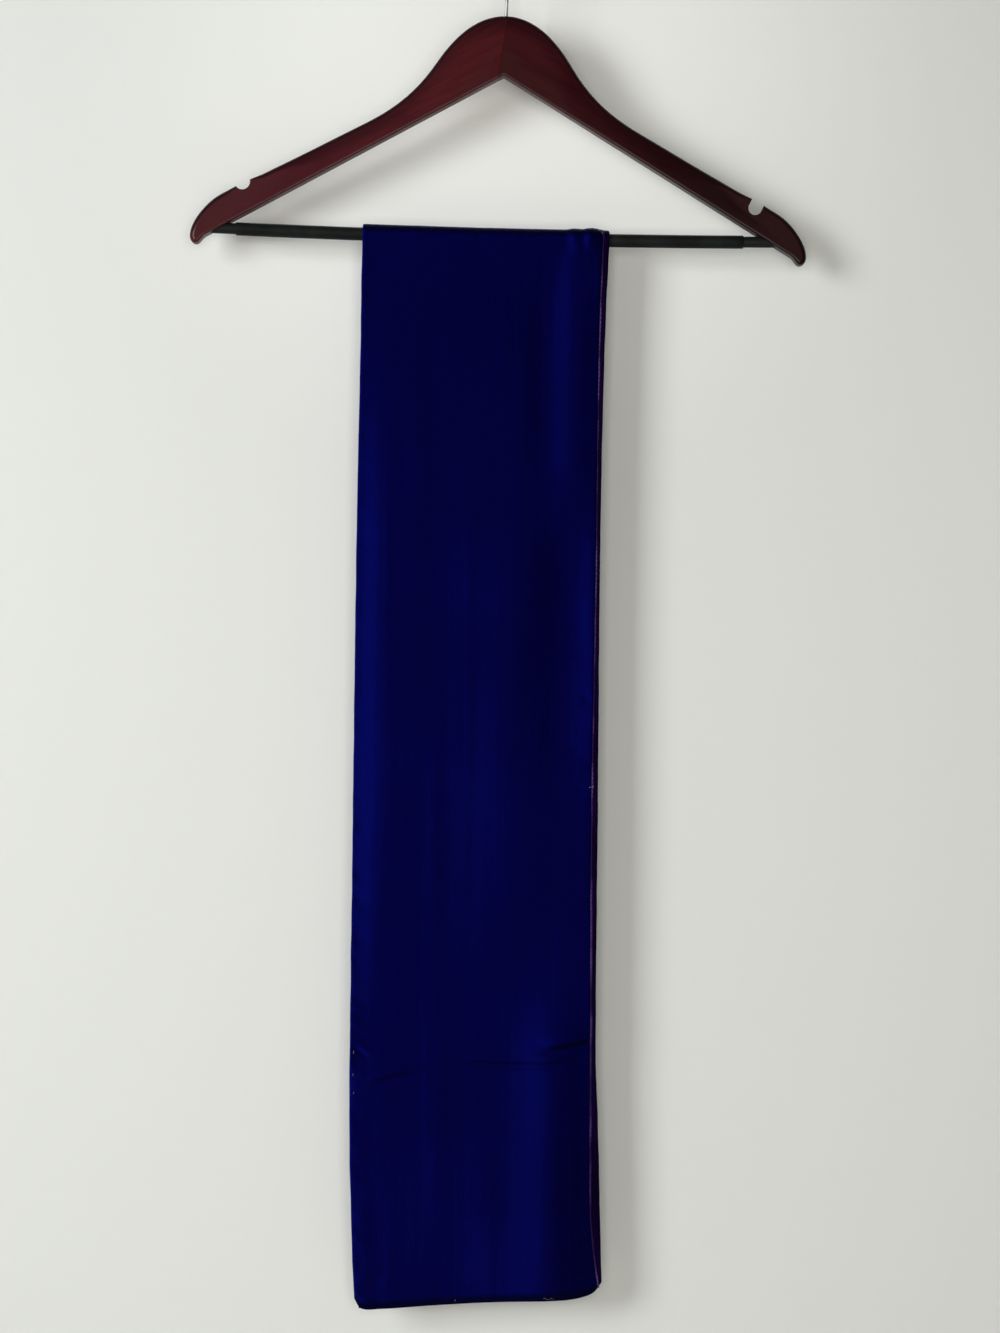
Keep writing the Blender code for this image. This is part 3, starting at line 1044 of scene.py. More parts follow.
@dataclass(frozen=True)
class TrouserBar:
    """The bar: a painted dowel in a non-slip sleeve."""

    fit: HangerFit
    rod_left: float = -219.5 * MM
    rod_right: float = 203.5 * MM
    rod_radius: float = 3.9 * MM
    rod_end_share: float = 0.86
    rod_steps: int = 60
    rod_sides: int = 40
    sleeve_left: float = -195.5 * MM
    sleeve_right: float = 170.5 * MM
    sleeve_radius: float = 4.7 * MM
    sleeve_wall: float = 0.65 * MM
    sleeve_steps: int = 70
    sleeve_sides: int = 48
    sleeve_sharp_from: float = 60.0
    lip: float = 0.25 * MM

    def rod(self, effects: Effects) -> bpy.types.Object:
        """Build and dress the dowel, with softened ends.

        Args:
            effects: the shared groups.

        Returns:
            The dowel.
        """
        places = even_steps(self.rod_left, self.rod_right, self.rod_steps)
        radii = [self.rod_radius] * len(places)
        radii[0] = radii[-1] = self.rod_end_share * self.rod_radius
        shape = bmesh.new()
        add_tube(shape, [self.fit.bar_axis(x) for x in places], radii, self.rod_sides)
        rod = new_piece("dowel", shape)
        rod.data.materials.append(RodFinish().make(effects))
        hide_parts("bar_rod")
        return rod

    def sleeve(self, effects: Effects) -> bpy.types.Object:
        """Build and dress the sleeve: an open tube with rounded lips.

        Args:
            effects: the shared groups.

        Returns:
            The sleeve.
        """
        left, right = self.sleeve_left, self.sleeve_right
        lip_radius = self.sleeve_radius - self.lip
        inner = self.sleeve_radius - self.sleeve_wall
        places = even_steps(left + self.lip, right - self.lip, self.sleeve_steps)
        outside = [(x, self.sleeve_radius) for x in places]
        inside = [(x, inner) for x in (right, *reversed(places), left)]
        shape = bmesh.new()
        rings = []
        for x, radius in [(left, lip_radius), *outside, (right, lip_radius), *inside]:
            ring = []
            for side in range(self.sleeve_sides):
                turn = 2.0 * pi * side / self.sleeve_sides
                around = Vector((0.0, -cos(turn), sin(turn)))
                ring.append(shape.verts.new(self.fit.bar_axis(x) + radius * around))
            rings.append(ring)
        skin_between(shape, [*rings, rings[0]], closed=True)
        sleeve = new_piece("bar_grip", shape, self.sleeve_sharp_from)
        sleeve.data.materials.append(SleeveFinish().make(effects))
        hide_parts("bar_sleeve")
        return sleeve

    def build(self, effects: Effects) -> list[bpy.types.Object]:
        """The dowel and the sleeve, dressed."""
        return [self.rod(effects), self.sleeve(effects)]


class OutlinePoint(NamedTuple):
    """A point of the yoke's right half, from the crown's top to the underside, in millimetres.

    The heading is in degrees, with how far the curve keeps to it on each side.
    """

    x: float
    z: float
    heading: float
    reach_in: float
    reach_out: float


class Notch(NamedTuple):
    """A strap notch: its round end and how it leans, in millimetres and degrees."""

    x: float
    z: float
    radius: float
    lean: float


class EdgeRing(NamedTuple):
    """A ring of the board's surface, from the middle of a face out to the rim.

    The inset and the sink are shares of the edge's rounding, and the fall is the share of the
    shoulder's width that the ring stands in from the rim. The margin is in metres.
    """

    face: float
    inset: float
    fall: float
    sink: float
    margin: float


HALF_OUTLINE = (
    OutlinePoint(0.0, 0.0, 0.0, 24.0, 24.0),
    OutlinePoint(49.0, -34.8, -57.0, 17.5, 22.0),
    OutlinePoint(98.4, -78.8, -27.6, 26.0, 28.0),
    OutlinePoint(187.0, -125.2, -26.0, 28.0, 7.0),
    OutlinePoint(207.0, -136.6, -41.0, 7.0, 9.0),
    OutlinePoint(222.3, -162.3, -90.0, 9.0, 3.4),
    OutlinePoint(217.6, -168.0, -188.0, 2.8, 2.6),
    OutlinePoint(211.0, -161.9, -209.4, 3.2, 4.0),
)
NOTCHES = (Notch(-185.3, -123.5, 5.5, -24.0), Notch(183.8, -129.0, 4.9, 24.0))


@dataclass(frozen=True)
class Yoke:
    """The shaped wooden yoke: a board with a broad round-over on top, jointed at the crown."""

    fit: HangerFit
    thickness: float = 12.0 * MM
    top_rounding: float = 3.8 * MM
    shoulder_width: float = 10.0 * MM
    shoulder_depth: float = 0.9 * MM
    shoulder_end: float = 165.0 * MM
    shoulder_ease: float = 35.0 * MM
    shoulder_blend: float = 1.5 * MM
    shoulder_rings: int = 5
    face_margin: float = 0.4 * MM
    under_rounding: float = 1.3 * MM
    notch_rounding: float = 0.7 * MM
    rounding_reach: float = 5.0 * MM
    rounding_steps: int = 9
    mitre_limit: float = 1.5
    joint_rounding: float = 0.12 * MM
    joint_gap: float = 0.05 * MM
    joint_lean: float = radians(7.5)
    joint_drop: float = 11.0 * MM
    underside_apex: float = 43.0 * MM
    bar_end: float = 205.0 * MM
    curve_steps: int = 16
    notch_steps: int = 22
    search_rounds: int = 20
    sharp_from: float = 35.0
    # Lit and shaded copies of one lacquer: the right arm is painted darker as shade, and darker
    # still at its tip.
    lit_left_wood: LacquerFinish = LacquerFinish(
        side=Side.LEFT,
        slope=radians(26.0),
        stain=(0.048, 0.0050, 0.0075),
        warm=(0.082, 0.0090, 0.0120),
        tip=(0.060, 0.0100, 0.0160),
        painted_tip_shading_share=0.6,
    )
    shaded_right_wood: LacquerFinish = LacquerFinish(
        side=Side.RIGHT,
        slope=radians(26.0),
        stain=(0.026, 0.0022, 0.0040),
        warm=(0.048, 0.0045, 0.0070),
        tip=(0.007, 0.0012, 0.0020),
        painted_tip_shading_share=0.95,
    )

    def knots(self) -> list[tuple[Vector, Vector, Vector]]:
        """Lay out the outline's knots, clockwise from the crown, the left half mirrored.

        Returns:
            Each knot's place with the handles of the curves that reach and leave it, in
            millimetres. Straight runs meet at the underside's apex.
        """
        mirrored = [
            OutlinePoint(-row.x, row.z, -row.heading, row.reach_out, row.reach_in)
            for row in reversed(HALF_OUTLINE[1:])
        ]
        right = [self.knot(row) for row in HALF_OUTLINE]
        left = [self.knot(row) for row in mirrored]
        apex = Vector((0.0, -self.underside_apex / MM))
        before, after = right[-1][0], left[0][0]
        middle = (apex, apex.lerp(before, 1 / 3), apex.lerp(after, 1 / 3))
        return [*right, middle, *left]

    @staticmethod
    def knot(row: OutlinePoint) -> tuple[Vector, Vector, Vector]:
        """Turn a row of the outline into a knot.

        Args:
            row: the row.

        Returns:
            Its place and the handles before and after it.
        """
        place = Vector((row.x, row.z))
        ahead = Vector((cos(radians(row.heading)), sin(radians(row.heading))))
        return place, place - ahead * row.reach_in, place + ahead * row.reach_out

    def outline(self) -> list[tuple[Vector, float]]:
        """Run the curves through the knots and cut the notches.

        Returns:
            Points in the board's plane, clockwise from the crown, each with the rounding there.
        """
        knots = self.knots()
        tip = len(HALF_OUTLINE) - 2
        points = []
        for index, (start, _, leave) in enumerate(knots):
            end, arrive, _ = knots[(index + 1) % len(knots)]
            under = tip <= index < len(knots) - tip
            rounding = self.under_rounding if under else self.top_rounding
            for step in range(self.curve_steps):
                t = step / self.curve_steps
                s = 1.0 - t
                place = s**3 * start + 3 * s * s * t * leave + 3 * s * t * t * arrive + t**3 * end
                points.append((place * MM, rounding))
        for notch in NOTCHES:
            points = self.with_notch(points, notch)
        return self.eased(points)

    def with_notch(
        self,
        points: list[tuple[Vector, float]],
        notch: Notch,
    ) -> list[tuple[Vector, float]]:
        """Cut a strap notch into the outline.

        Args:
            points: the outline and its roundings.
            notch: the notch.

        Returns:
            The outline with the notch's walls and round end.
        """
        centre = Vector((notch.x, notch.z)) * MM
        radius = notch.radius * MM
        up = Vector((sin(radians(notch.lean)), cos(radians(notch.lean))))
        along = Vector((up.y, -up.x))

        def inside(place: Vector) -> bool:
            """Whether a place of the outline lies in the notch's opening."""
            away = place - centre
            return abs(away.dot(along)) < radius and (away.dot(up) > 0.0 or away.length < radius)

        def turn_at(place: Vector) -> float:
            """How far round the notch's end a place stands, from its left wall to its right one."""
            away = place - centre
            return pi + acos(min(1.0, max(-1.0, -away.dot(along) / radius)))

        def crossing(outer: Vector, inner: Vector) -> Vector:
            """Find where the outline meets the notch's wall.

            Args:
                outer: a point outside the notch.
                inner: its neighbour inside.

            Returns:
                The point between them on the wall.
            """
            for _ in range(self.search_rounds):
                middle = 0.5 * (outer + inner)
                if inside(middle):
                    inner = middle
                else:
                    outer = middle
            return outer

        held = [index for index, (place, _) in enumerate(points) if inside(place)]
        first, last = held[0], held[-1]
        enter = crossing(points[first - 1][0], points[first][0])
        leave = crossing(points[last + 1][0], points[last][0])
        cut = [(enter, self.notch_rounding)]
        for turn in even_steps(turn_at(enter), turn_at(leave), self.notch_steps)[1:-1]:
            place = centre + radius * (cos(turn) * along + sin(turn) * up)
            cut.append((place, self.notch_rounding))
        cut.append((leave, self.notch_rounding))
        return points[:first] + cut + points[last + 1 :]

    def eased(self, points: list[tuple[Vector, float]]) -> list[tuple[Vector, float]]:
        """Let the rounding change gradually along the edge.

        Args:
            points: the outline and its roundings.

        Returns:
            The same outline with eased roundings.
        """
        reach = self.rounding_reach
        eased = []
        for place, rounding in points:
            shares = [(swell((other - place).length, reach), value) for other, value in points]
            total = sum(share for share, _ in shares)
            mean = sum(share * value for share, value in shares) / total
            eased.append((place, min(mean, rounding) if rounding < self.under_rounding else mean))
        return eased

    def inward(self, places: Sequence[Vector]) -> list[Vector]:
        """Find the way into the board from each point of its outline.

        Args:
            places: the outline.

        Returns:
            The ways, longer at corners so that an inset keeps its width there.
        """
        ways = []
        for index, place in enumerate(places):
            before = (place - places[index - 1]).normalized()
            after = (places[(index + 1) % len(places)] - place).normalized()
            ahead = (before + after).normalized()
            stretch = 1.0 / max(1.0 / self.mitre_limit, ahead.dot(after))
            ways.append(Vector((ahead.y, -ahead.x)) * stretch)
        return ways

    def profile(self) -> list[EdgeRing]:
        """List the board's rings, from the front face over the rounded edge to the rear face.

        Returns:
            The rings in order.
        """
        rings = [EdgeRing(-1.0, 1.0, 1.0, 0.0, self.face_margin)]
        for fall in even_steps(1.0, 0.0, self.shoulder_rings):
            rings.append(EdgeRing(-1.0, 1.0, fall, 0.0, 0.0))
        for turn in even_steps(0.0, 0.5 * pi, self.rounding_steps)[1:]:
            rings.append(EdgeRing(-1.0, 1.0 - sin(turn), 0.0, 1.0 - cos(turn), 0.0))
        return rings + [ring._replace(face=1.0) for ring in reversed(rings)]

    def board(self) -> bmesh.types.BMesh:
        """Build the whole yoke, upright in its own plane, its edges rounded.

        Returns:
            The board.
        """
        points = self.outline()
        inward = self.inward([place for place, _ in points])
        shape = bmesh.new()
        rings = []
        for row in self.profile():
            ring = []
            for (place, rounding), way in zip(points, inward):
                broad = self.shoulder(place, rounding)
                inset = row.inset * rounding + row.fall * broad * self.shoulder_width + row.margin
                moved = place + way * inset
                sunk = row.sink * rounding + (1.0 - row.fall) ** 2 * broad * self.shoulder_depth
                y = row.face * (0.5 * self.thickness - sunk)
                ring.append(shape.verts.new((moved.x, y, moved.y - self.fit.crown_drop)))
            rings.append(ring)
        skin_between(shape, rings, closed=True)
        shape.faces.new(rings[0])
        shape.faces.new(list(reversed(rings[-1])))
        bmesh.ops.recalc_face_normals(shape, faces=shape.faces)
        return shape

    def shoulder(self, place: Vector, rounding: float) -> float:
        """How far the face falls away towards the edge at a place of it, from 0 to 1."""
        inside = smooth_step((self.shoulder_end - abs(place.x)) / self.shoulder_ease)
        return inside * smooth_step((rounding - self.under_rounding) / self.shoulder_blend)

    def arm(self, side: Side, effects: Effects) -> bpy.types.Object:
        """Cut one arm from the board, sweep it back to the bar's end, and dress it.

        Args:
            side: which arm.
            effects: the shared groups.

        Returns:
            The arm.
        """
        joint = Vector((0.0, 0.0, -self.fit.crown_drop - self.joint_drop))
        outward = Vector((cos(self.joint_lean), 0.0, -sin(self.joint_lean))) * side.value
        bar_end = Vector((side.value * self.bar_end, 0.0, self.fit.bar_middle_z))
        sweep = self.fit.bar_y / (bar_end - joint).dot(outward)
        shape = self.board()
        bmesh.ops.bisect_plane(
            shape,
            geom=[*shape.verts, *shape.edges, *shape.faces],
            dist=CUT_REACH,
            plane_co=joint + outward * 0.5 * self.joint_gap,
            plane_no=outward,
            clear_inner=True,
        )
        rim = [edge for edge in shape.edges if edge.is_boundary]
        bmesh.ops.holes_fill(shape, edges=rim)
        rim = [edge for edge in rim if edge.is_valid]
        bmesh.ops.bevel(shape, geom=rim, offset=self.joint_rounding, segments=2, affect="EDGES")
        for vertex in shape.verts:
            vertex.co.y += (vertex.co - joint).dot(outward) * sweep
        shape.transform(self.fit.hung())
        arm = new_piece(f"yoke_arm_{side.name.lower()}", shape, self.sharp_from)
        wood = self.lit_left_wood if side is Side.LEFT else self.shaded_right_wood
        arm.data.materials.append(wood.make(effects))
        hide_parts(f"arm_{side.name.lower()}")
        return arm

    def build(self, effects: Effects) -> list[bpy.types.Object]:
        """The two arms, dressed."""
        return [self.arm(side, effects) for side in Side]


# The scarf


class Section(NamedTuple):
    """The scarf's edges at a drop below the bar, and the strip of backing that shows in front."""

    drop: float
    left: float
    right: float
    strip: float


class HemPoint(NamedTuple):
    """The hem's height at a fraction of the way across, from the left edge."""

    across: float
    z: float


class Fold(NamedTuple):
    """A soft fold: its place across, its drift on the way down, its ends, reach and depth."""

    across: float
    drift: float
    top: float
    bottom: float
    reach: float
    depth: float


class Crease(NamedTuple):
    """A crease between two places of the front tail: its width, its depth and how it bows."""

    x_start: float
    z_start: float
    x_end: float
    z_end: float
    reach: float
    depth: float
    bow: float


class Gather(NamedTuple):
    """A small gather over the bar: its place across, reach, height, and how far down it fades."""

    across: float
    reach: float
    height: float
    fade: float


class FoldMark(NamedTuple):
    """The broad low ridge where the tail was once folded away.

    It has its drop at the left edge, its rise on the way to the right one, its reach and height.
    """

    drop: float
    rise: float
    reach: float
    height: float


TAIL_SECTIONS = (
    Section(0.0, -103.8, 74.0, 4.4),
    Section(35.0, -104.3, 72.4, 4.1),
    Section(95.0, -104.8, 70.7, 3.6),
    Section(175.0, -106.0, 69.4, 2.9),
    Section(260.0, -106.8, 68.8, 2.6),
    Section(430.0, -107.6, 68.7, 4.2),
    Section(600.0, -108.3, 68.6, 3.4),
    Section(660.0, -108.0, 70.8, 5.4),
    Section(720.0, -106.2, 72.6, 6.4),
    Section(772.0, -104.0, 74.2, 2.5),
)
HEM = (
    HemPoint(0.0, -980.5),
    HemPoint(0.025, -987.6),
    HemPoint(0.10, -988.2),
    HemPoint(0.30, -985.5),
    HemPoint(0.55, -982.6),
    HemPoint(0.85, -980.7),
    HemPoint(0.92, -978.9),
    HemPoint(0.97, -975.2),
    HemPoint(1.0, -968.0),
)
FRONT_FOLDS = (
    Fold(0.755, 0.030, 2.0, 215.0, 0.080, -0.8),
    Fold(0.880, 0.000, 2.0, 225.0, 0.075, 0.7),
    Fold(0.000, 0.000, 40.0, 610.0, 0.072, -2.0),
    Fold(0.620, 0.020, 110.0, 640.0, 0.200, 1.1),
    Fold(0.857, 0.000, 180.0, 430.0, 0.125, -1.5),
    Fold(0.850, -0.065, 500.0, 850.0, 0.120, 2.1),
    Fold(0.640, 0.000, 640.0, 1000.0, 0.150, 0.8),
    Fold(1.000, -0.020, 500.0, 1040.0, 0.115, -2.5),
    Fold(0.230, 0.040, 30.0, 420.0, 0.045, 0.25),
    Fold(0.560, -0.050, 60.0, 470.0, 0.050, -0.12),
    Fold(0.330, 0.030, 330.0, 800.0, 0.040, 0.20),
    Fold(0.130, 0.020, 520.0, 830.0, 0.050, 0.16),
    Fold(0.520, 0.030, 590.0, 840.0, 0.040, 0.10),
    Fold(0.055, 0.000, 640.0, 860.0, 0.030, 0.14),
)
REAR_FOLDS = (
    Fold(0.18, 0.05, 30.0, 600.0, 0.12, 1.9),
    Fold(0.52, -0.08, 90.0, 1000.0, 0.14, -1.6),
    Fold(0.82, 0.03, 200.0, 1040.0, 0.11, 2.6),
    Fold(0.34, 0.04, 60.0, 480.0, 0.045, 0.40),
    Fold(0.68, -0.03, 300.0, 760.0, 0.040, 0.35),
    Fold(0.10, 0.02, 420.0, 900.0, 0.040, -0.40),
)
FRONT_MARK = FoldMark(drop=603.0, rise=25.0, reach=16.0, height=1.3)
FRONT_CREASES = (
    Crease(-90.0, -825.5, -64.0, -819.5, 2.0, -0.42, 1.0),
    Crease(-64.0, -819.0, -32.0, -812.0, 2.2, -0.24, 0.5),
    Crease(-30.0, -809.8, 31.0, -811.8, 2.2, -0.46, -0.8),
    Crease(31.0, -811.8, 60.0, -805.5, 2.4, -0.50, -1.0),
    Crease(34.0, -801.5, 66.0, -795.5, 3.4, -0.90, -1.4),
    Crease(50.0, -583.5, 66.0, -580.5, 1.8, -0.35, 0.8),
    Crease(52.0, -612.5, 66.5, -610.5, 1.7, -0.45, 0.6),
    Crease(56.0, -602.0, 66.0, -598.0, 1.5, -0.30, 0.3),
    Crease(57.0, -546.0, 65.5, -552.0, 2.0, -0.30, 0.4),
    Crease(-104.0, -801.0, -96.0, -806.0, 1.6, -0.25, 0.3),
    Crease(-98.0, -975.0, -84.0, -966.0, 3.0, -0.40, 1.0),
)
GATHERS = (
    Gather(0.851, 0.016, 0.80, 5.0),
    Gather(0.891, 0.012, -0.45, 7.0),
    Gather(0.925, 0.022, 0.55, 6.0),
    Gather(0.998, 0.034, -1.15, 11.0),
    Gather(0.480, 0.030, -0.12, 20.0),
    Gather(0.230, 0.030, 0.10, 16.0),
)


class Station(NamedTuple):
    """A ring of the scarf along its length.

    The value is a fraction of the way down a tail, or the angle round the bend; the roll is the
    angle by which the hem has turned under.
    """

    stretch: Stretch
    value: float
    roll: float


class Rows(NamedTuple):
    """How many even rows run down each tail, and how many more lie at the front's creases."""

    front: int
    rear: int
    crease: int


@dataclass(frozen=True)
class ClothWaves:
    """The cloth's own small unevenness: edges that waver, seams that pucker and a face not flat.

    Each pitch is in steps through the noise per millimetre, and each run of noise has its seed.
    The eases are drops below the bar, in millimetres, over which the waves set in.
    """

    wobble: float = 0.28 * MM
    wobble_ease: float = 40.0
    left_pitch: float = 0.045
    right_pitch: float = 0.055
    right_seed: float = 9.0
    rear_seed: float = 3.0
    ripple: float = 0.30 * MM
    ripple_ease: float = 30.0
    pucker_pitch_down: float = 0.11
    pucker_pitch_across: float = 0.05
    pucker_middle: float = 3.0
    pucker_reach: float = 9.0
    pucker_right_seed: float = 20.0
    pucker_left_seed: float = 40.0
    low_pitch_down: float = 0.010
    low_pitch_across: float = 0.030
    low_share: float = 0.5
    low_seed: float = 60.0

    def edges(self, stretch: Stretch, drop: float) -> tuple[float, float]:
        """Find how far the two edges stray at a drop below the bar.

        Args:
            stretch: the stretch of the scarf.
            drop: the drop, in millimetres.

        Returns:
            How far the left and the right edge stray to the right, in metres.
        """
        seed = self.rear_seed if stretch is Stretch.REAR else 0.0
        steady = smooth_step(drop / self.wobble_ease)
        left = noise.noise(Vector((self.left_pitch * drop, seed, 0.0)))
        right = noise.noise(Vector((self.right_pitch * drop, seed, self.right_seed)))
        return left * self.wobble * steady, right * self.wobble * steady

    def face(self, x: float, section: Section) -> float:
        """Find the seams' puckers near both edges and the low unevenness between them.

        Args:
            x: the place across.
            section: the section there.

        Returns:
            How far they bring the cloth forward, in metres.
        """
        from_edge = min(x - section.left, section.right - x) / MM
        seed = self.pucker_right_seed if x > 0.0 else self.pucker_left_seed
        down = self.pucker_pitch_down * section.drop
        pucker = noise.noise(Vector((down, self.pucker_pitch_across * from_edge, seed)))
        near = swell(from_edge - self.pucker_middle, self.pucker_reach)
        down = self.low_pitch_down * section.drop
        low = noise.noise(Vector((self.low_pitch_across * x / MM, down, self.low_seed)))
        ripple = self.ripple * (pucker * near + self.low_share * low)
        return ripple * smooth_step(section.drop / self.ripple_ease)


@dataclass(frozen=True)
class ScarfForm:
    """The form in which the scarf hangs.

    Sizes are in metres. Eases and the lift's fade are drops below the bar, in millimetres, and the
    lift's starts, ends and spreads are fractions of the way across. A fold fades over a share of
    its length, and a crease overruns each end by a share of its own; the ridge beside a crease is
    in shares of the crease's depth and reach. Rows lie closer between two fractions of the way
    down, at the creases, and near each hem.
    """

    fit: HangerFit
    waves: ClothWaves = ClothWaves()
    drape_radius: float = 6.15 * MM
    edge_radius: float = 1.15 * MM
    back_seam_inset: float = 4.0 * MM
    rear_inset: float = 1.0 * MM
    rear_inset_ease: float = 60.0
    rear_shorter: float = 18.0 * MM
    fold_fade: float = 0.35
    crease_overrun: float = 0.3
    ridge_share: float = 0.6
    ridge_away: float = 2.2
    ridge_reach: float = 1.3
    lift: float = 0.9 * MM
    lift_start: float = 0.845
    lift_end: float = 0.885
    lift_start_spread: float = 0.0675
    lift_end_spread: float = 0.0135
    lift_ease: float = 18.0
    lift_fade: float = 110.0
    tuck: float = 2.0 * MM
    tuck_reach: float = 8.5 * MM
    hem_roll: float = radians(76.0)
    hem_roll_steps: int = 6
    bend_steps: int = 26
    crease_from: float = 0.715
    crease_to: float = 0.805
    hem_row_step: float = 0.0013
    hem_rows: int = 8
    least_row_step: float = 0.0006
    rear_even_to: float = 0.99
    rear_hem_from: float = 0.9912
    rear_hem_rows: int = 7

    def section(self, station: Station) -> Section:
        """Find the section at a station.

        Args:
            station: the ring along the scarf.

        Returns:
            The section, in metres but for its drop, which is in millimetres.
        """
        drop = 0.0 if station.stretch is Stretch.BEND else station.value * TAIL_SECTIONS[-1].drop
        inset = 0.0
        if station.stretch is Stretch.REAR:
            inset = self.rear_inset * smooth_step(drop / self.rear_inset_ease)
        left_stray, right_stray = self.waves.edges(station.stretch, drop)
        left = read_table(TAIL_SECTIONS, "drop", "left", drop) * MM + inset + left_stray
        right = read_table(TAIL_SECTIONS, "drop", "right", drop) * MM - inset + right_stray
        return Section(drop, left, right, read_table(TAIL_SECTIONS, "drop", "strip", drop) * MM)

    def fold_depth(self, across: float, drop: float, folds: Sequence[Fold]) -> float:
        """Add up the soft folds at a place of a tail.

        Args:
            across: the fraction of the way across.
            drop: the drop below the bar, in millimetres.
            folds: the tail's folds.

        Returns:
            How far they bring the tail forward, in metres.
        """
        depth = 0.0
        for fold in folds:
            run = (drop - fold.top) / (fold.bottom - fold.top)
            if 0.0 < run < 1.0:
                fade = smooth_step(run / self.fold_fade) * smooth_step((1.0 - run) / self.fold_fade)
                away = across - fold.across - fold.drift * run
                depth += fold.depth * fade * swell(away, fold.reach)
        return depth * MM

    def crease_depth(self, x: float, z: float) -> float:
        """Add up the front tail's creases at a place, each a trough with a low ridge beside it.

        Args:
            x: the place across, in metres.
            z: the place's height, in metres.

        Returns:
            How far they bring the tail forward, in metres.
        """
        over = self.crease_overrun
        depth = 0.0
        for crease in FRONT_CREASES:
            start = Vector((crease.x_start, crease.z_start))
            run = Vector((crease.x_end, crease.z_end)) - start
            away = Vector((x / MM, z / MM)) - start
            along = away.dot(run) / run.length_squared
            if not -over < along < 1.0 + over:
                continue
            bowed = crease.bow * 4.0 * along * (1.0 - along)
            beside = (run.x * away.y - run.y * away.x) / run.length - bowed
            head = smooth_step((along + over) / (2.0 * over))
            foot = smooth_step((1.0 + over - along) / (2.0 * over))
            trough = swell(beside, crease.reach)
            ridge = swell(beside - self.ridge_away * crease.reach, self.ridge_reach * crease.reach)
            depth += crease.depth * (head * foot) * (trough - self.ridge_share * ridge)
        return depth * MM

    def fold_mark(self, across: float, drop: float) -> float:
        """The broad low ridge where the tail was once folded away, in metres."""
        level = FRONT_MARK.drop - FRONT_MARK.rise * across
        return FRONT_MARK.height * MM * swell(drop - level, FRONT_MARK.reach)

    def hem_tuck(self, height: float) -> float:
        """How far the cloth is drawn in at a height over its hem, in metres."""
        near = max(0.0, 1.0 - height / self.tuck_reach)
        return self.tuck * near * near

    def gather_lift(self, across: float, drop: float) -> float:
        """Find how far the cloth stands off the bar, with its gathers, at a place.

        Args:
            across: the fraction of the way across.
            drop: the drop below the bar, in millimetres.

        Returns:
            The lift, in metres.
        """
        spread = smooth_step(drop / self.lift_ease)
        start = self.lift_start - self.lift_start_spread * spread
        end = self.lift_end - self.lift_end_spread * spread
        eased = smooth_step((across - start) / (end - start))
        gathers = 0.0
        for gather in GATHERS:
            hump = swell(across - gather.across, gather.reach)
            gathers += gather.height * MM * hump * swell(drop, gather.fade)
        return self.lift * eased * (1.0 - smooth_step(drop / self.lift_fade)) + gathers

    def point(self, station: Station, section: Section, x: float, out: float) -> Vector:
        """Find a point of the scarf.

        Args:
            station: the ring along its length.
            section: the section there.
            x: the place across.
            out: the distance out from the middle surface, on the velvet's side.

        Returns:
            The point.
        """
        across = (x - section.left) / (section.right - section.left)
        axis = self.fit.bar_axis(x)
        lift = self.gather_lift(across, section.drop)
        radius = self.drape_radius + lift + out * cos(station.roll)
        if station.stretch is Stretch.BEND:
            return axis + radius * Vector((0.0, -cos(station.value), sin(station.value)))
        if station.stretch is Stretch.FRONT:
            hem = read_table(HEM, "across", "z", across) * MM + self.edge_radius
            z = axis.z + station.value * (hem - axis.z)
            forward = self.fold_depth(across, section.drop, FRONT_FOLDS)
            forward += self.fold_mark(across, section.drop)
            forward += self.crease_depth(x, z) - self.hem_tuck(z - hem)
            sign = -1.0
        else:
            hem = read_table(HEM, "across", "z", 1.0 - across) * MM + self.rear_shorter
            z = axis.z + station.value * (hem + self.edge_radius - axis.z)
            forward = self.fold_depth(across, section.drop, REAR_FOLDS)
            forward -= self.hem_tuck(z - hem - self.edge_radius)
            sign = 1.0
        forward += self.waves.face(x, section)
        z -= self.edge_radius * sin(station.roll)
        return Vector((x, axis.y + sign * (radius + forward), z))

    def stations(self, rows: Rows) -> list[Station]:
        """Lay out the rings from the front hem, over the bar, to the rear hem.

        Args:
            rows: how many there are of each kind.

        Returns:
            The stations in order.
        """
        values = even_steps(0.0, 1.0, rows.front)[1:]
        values += even_steps(self.crease_from, self.crease_to, rows.crease)
        values += [1.0 - self.hem_row_step * step for step in range(1, self.hem_rows + 1)]
        front = []
        for value in sorted(values, reverse=True):
            if not front or front[-1] - value > self.least_row_step:
                front.append(value)
        rear = even_steps(0.0, self.rear_even_to, rows.rear)[1:]
        rear += even_steps(self.rear_hem_from, 1.0, self.rear_hem_rows)
        rolls = even_steps(self.hem_roll, 0.0, self.hem_roll_steps)[:-1]
        bend = even_steps(0.0, pi, self.bend_steps)
        rings = [Station(Stretch.FRONT, 1.0, roll) for roll in rolls]
        rings += [Station(Stretch.FRONT, value, 0.0) for value in front]
        rings += [Station(Stretch.BEND, turn, 0.0) for turn in bend]
        rings += [Station(Stretch.REAR, value, 0.0) for value in rear]
        rings += [Station(Stretch.REAR, 1.0, roll) for roll in reversed(rolls)]
        return rings


class Dip(NamedTuple):
    """A step of a cloth that sinks to its seam: its distance, in millimetres, and its share."""

    away: float
    share: float


DIPS = (Dip(0.0, 1.0), Dip(0.2, 0.62), Dip(0.5, 0.24), Dip(0.9, 0.05))


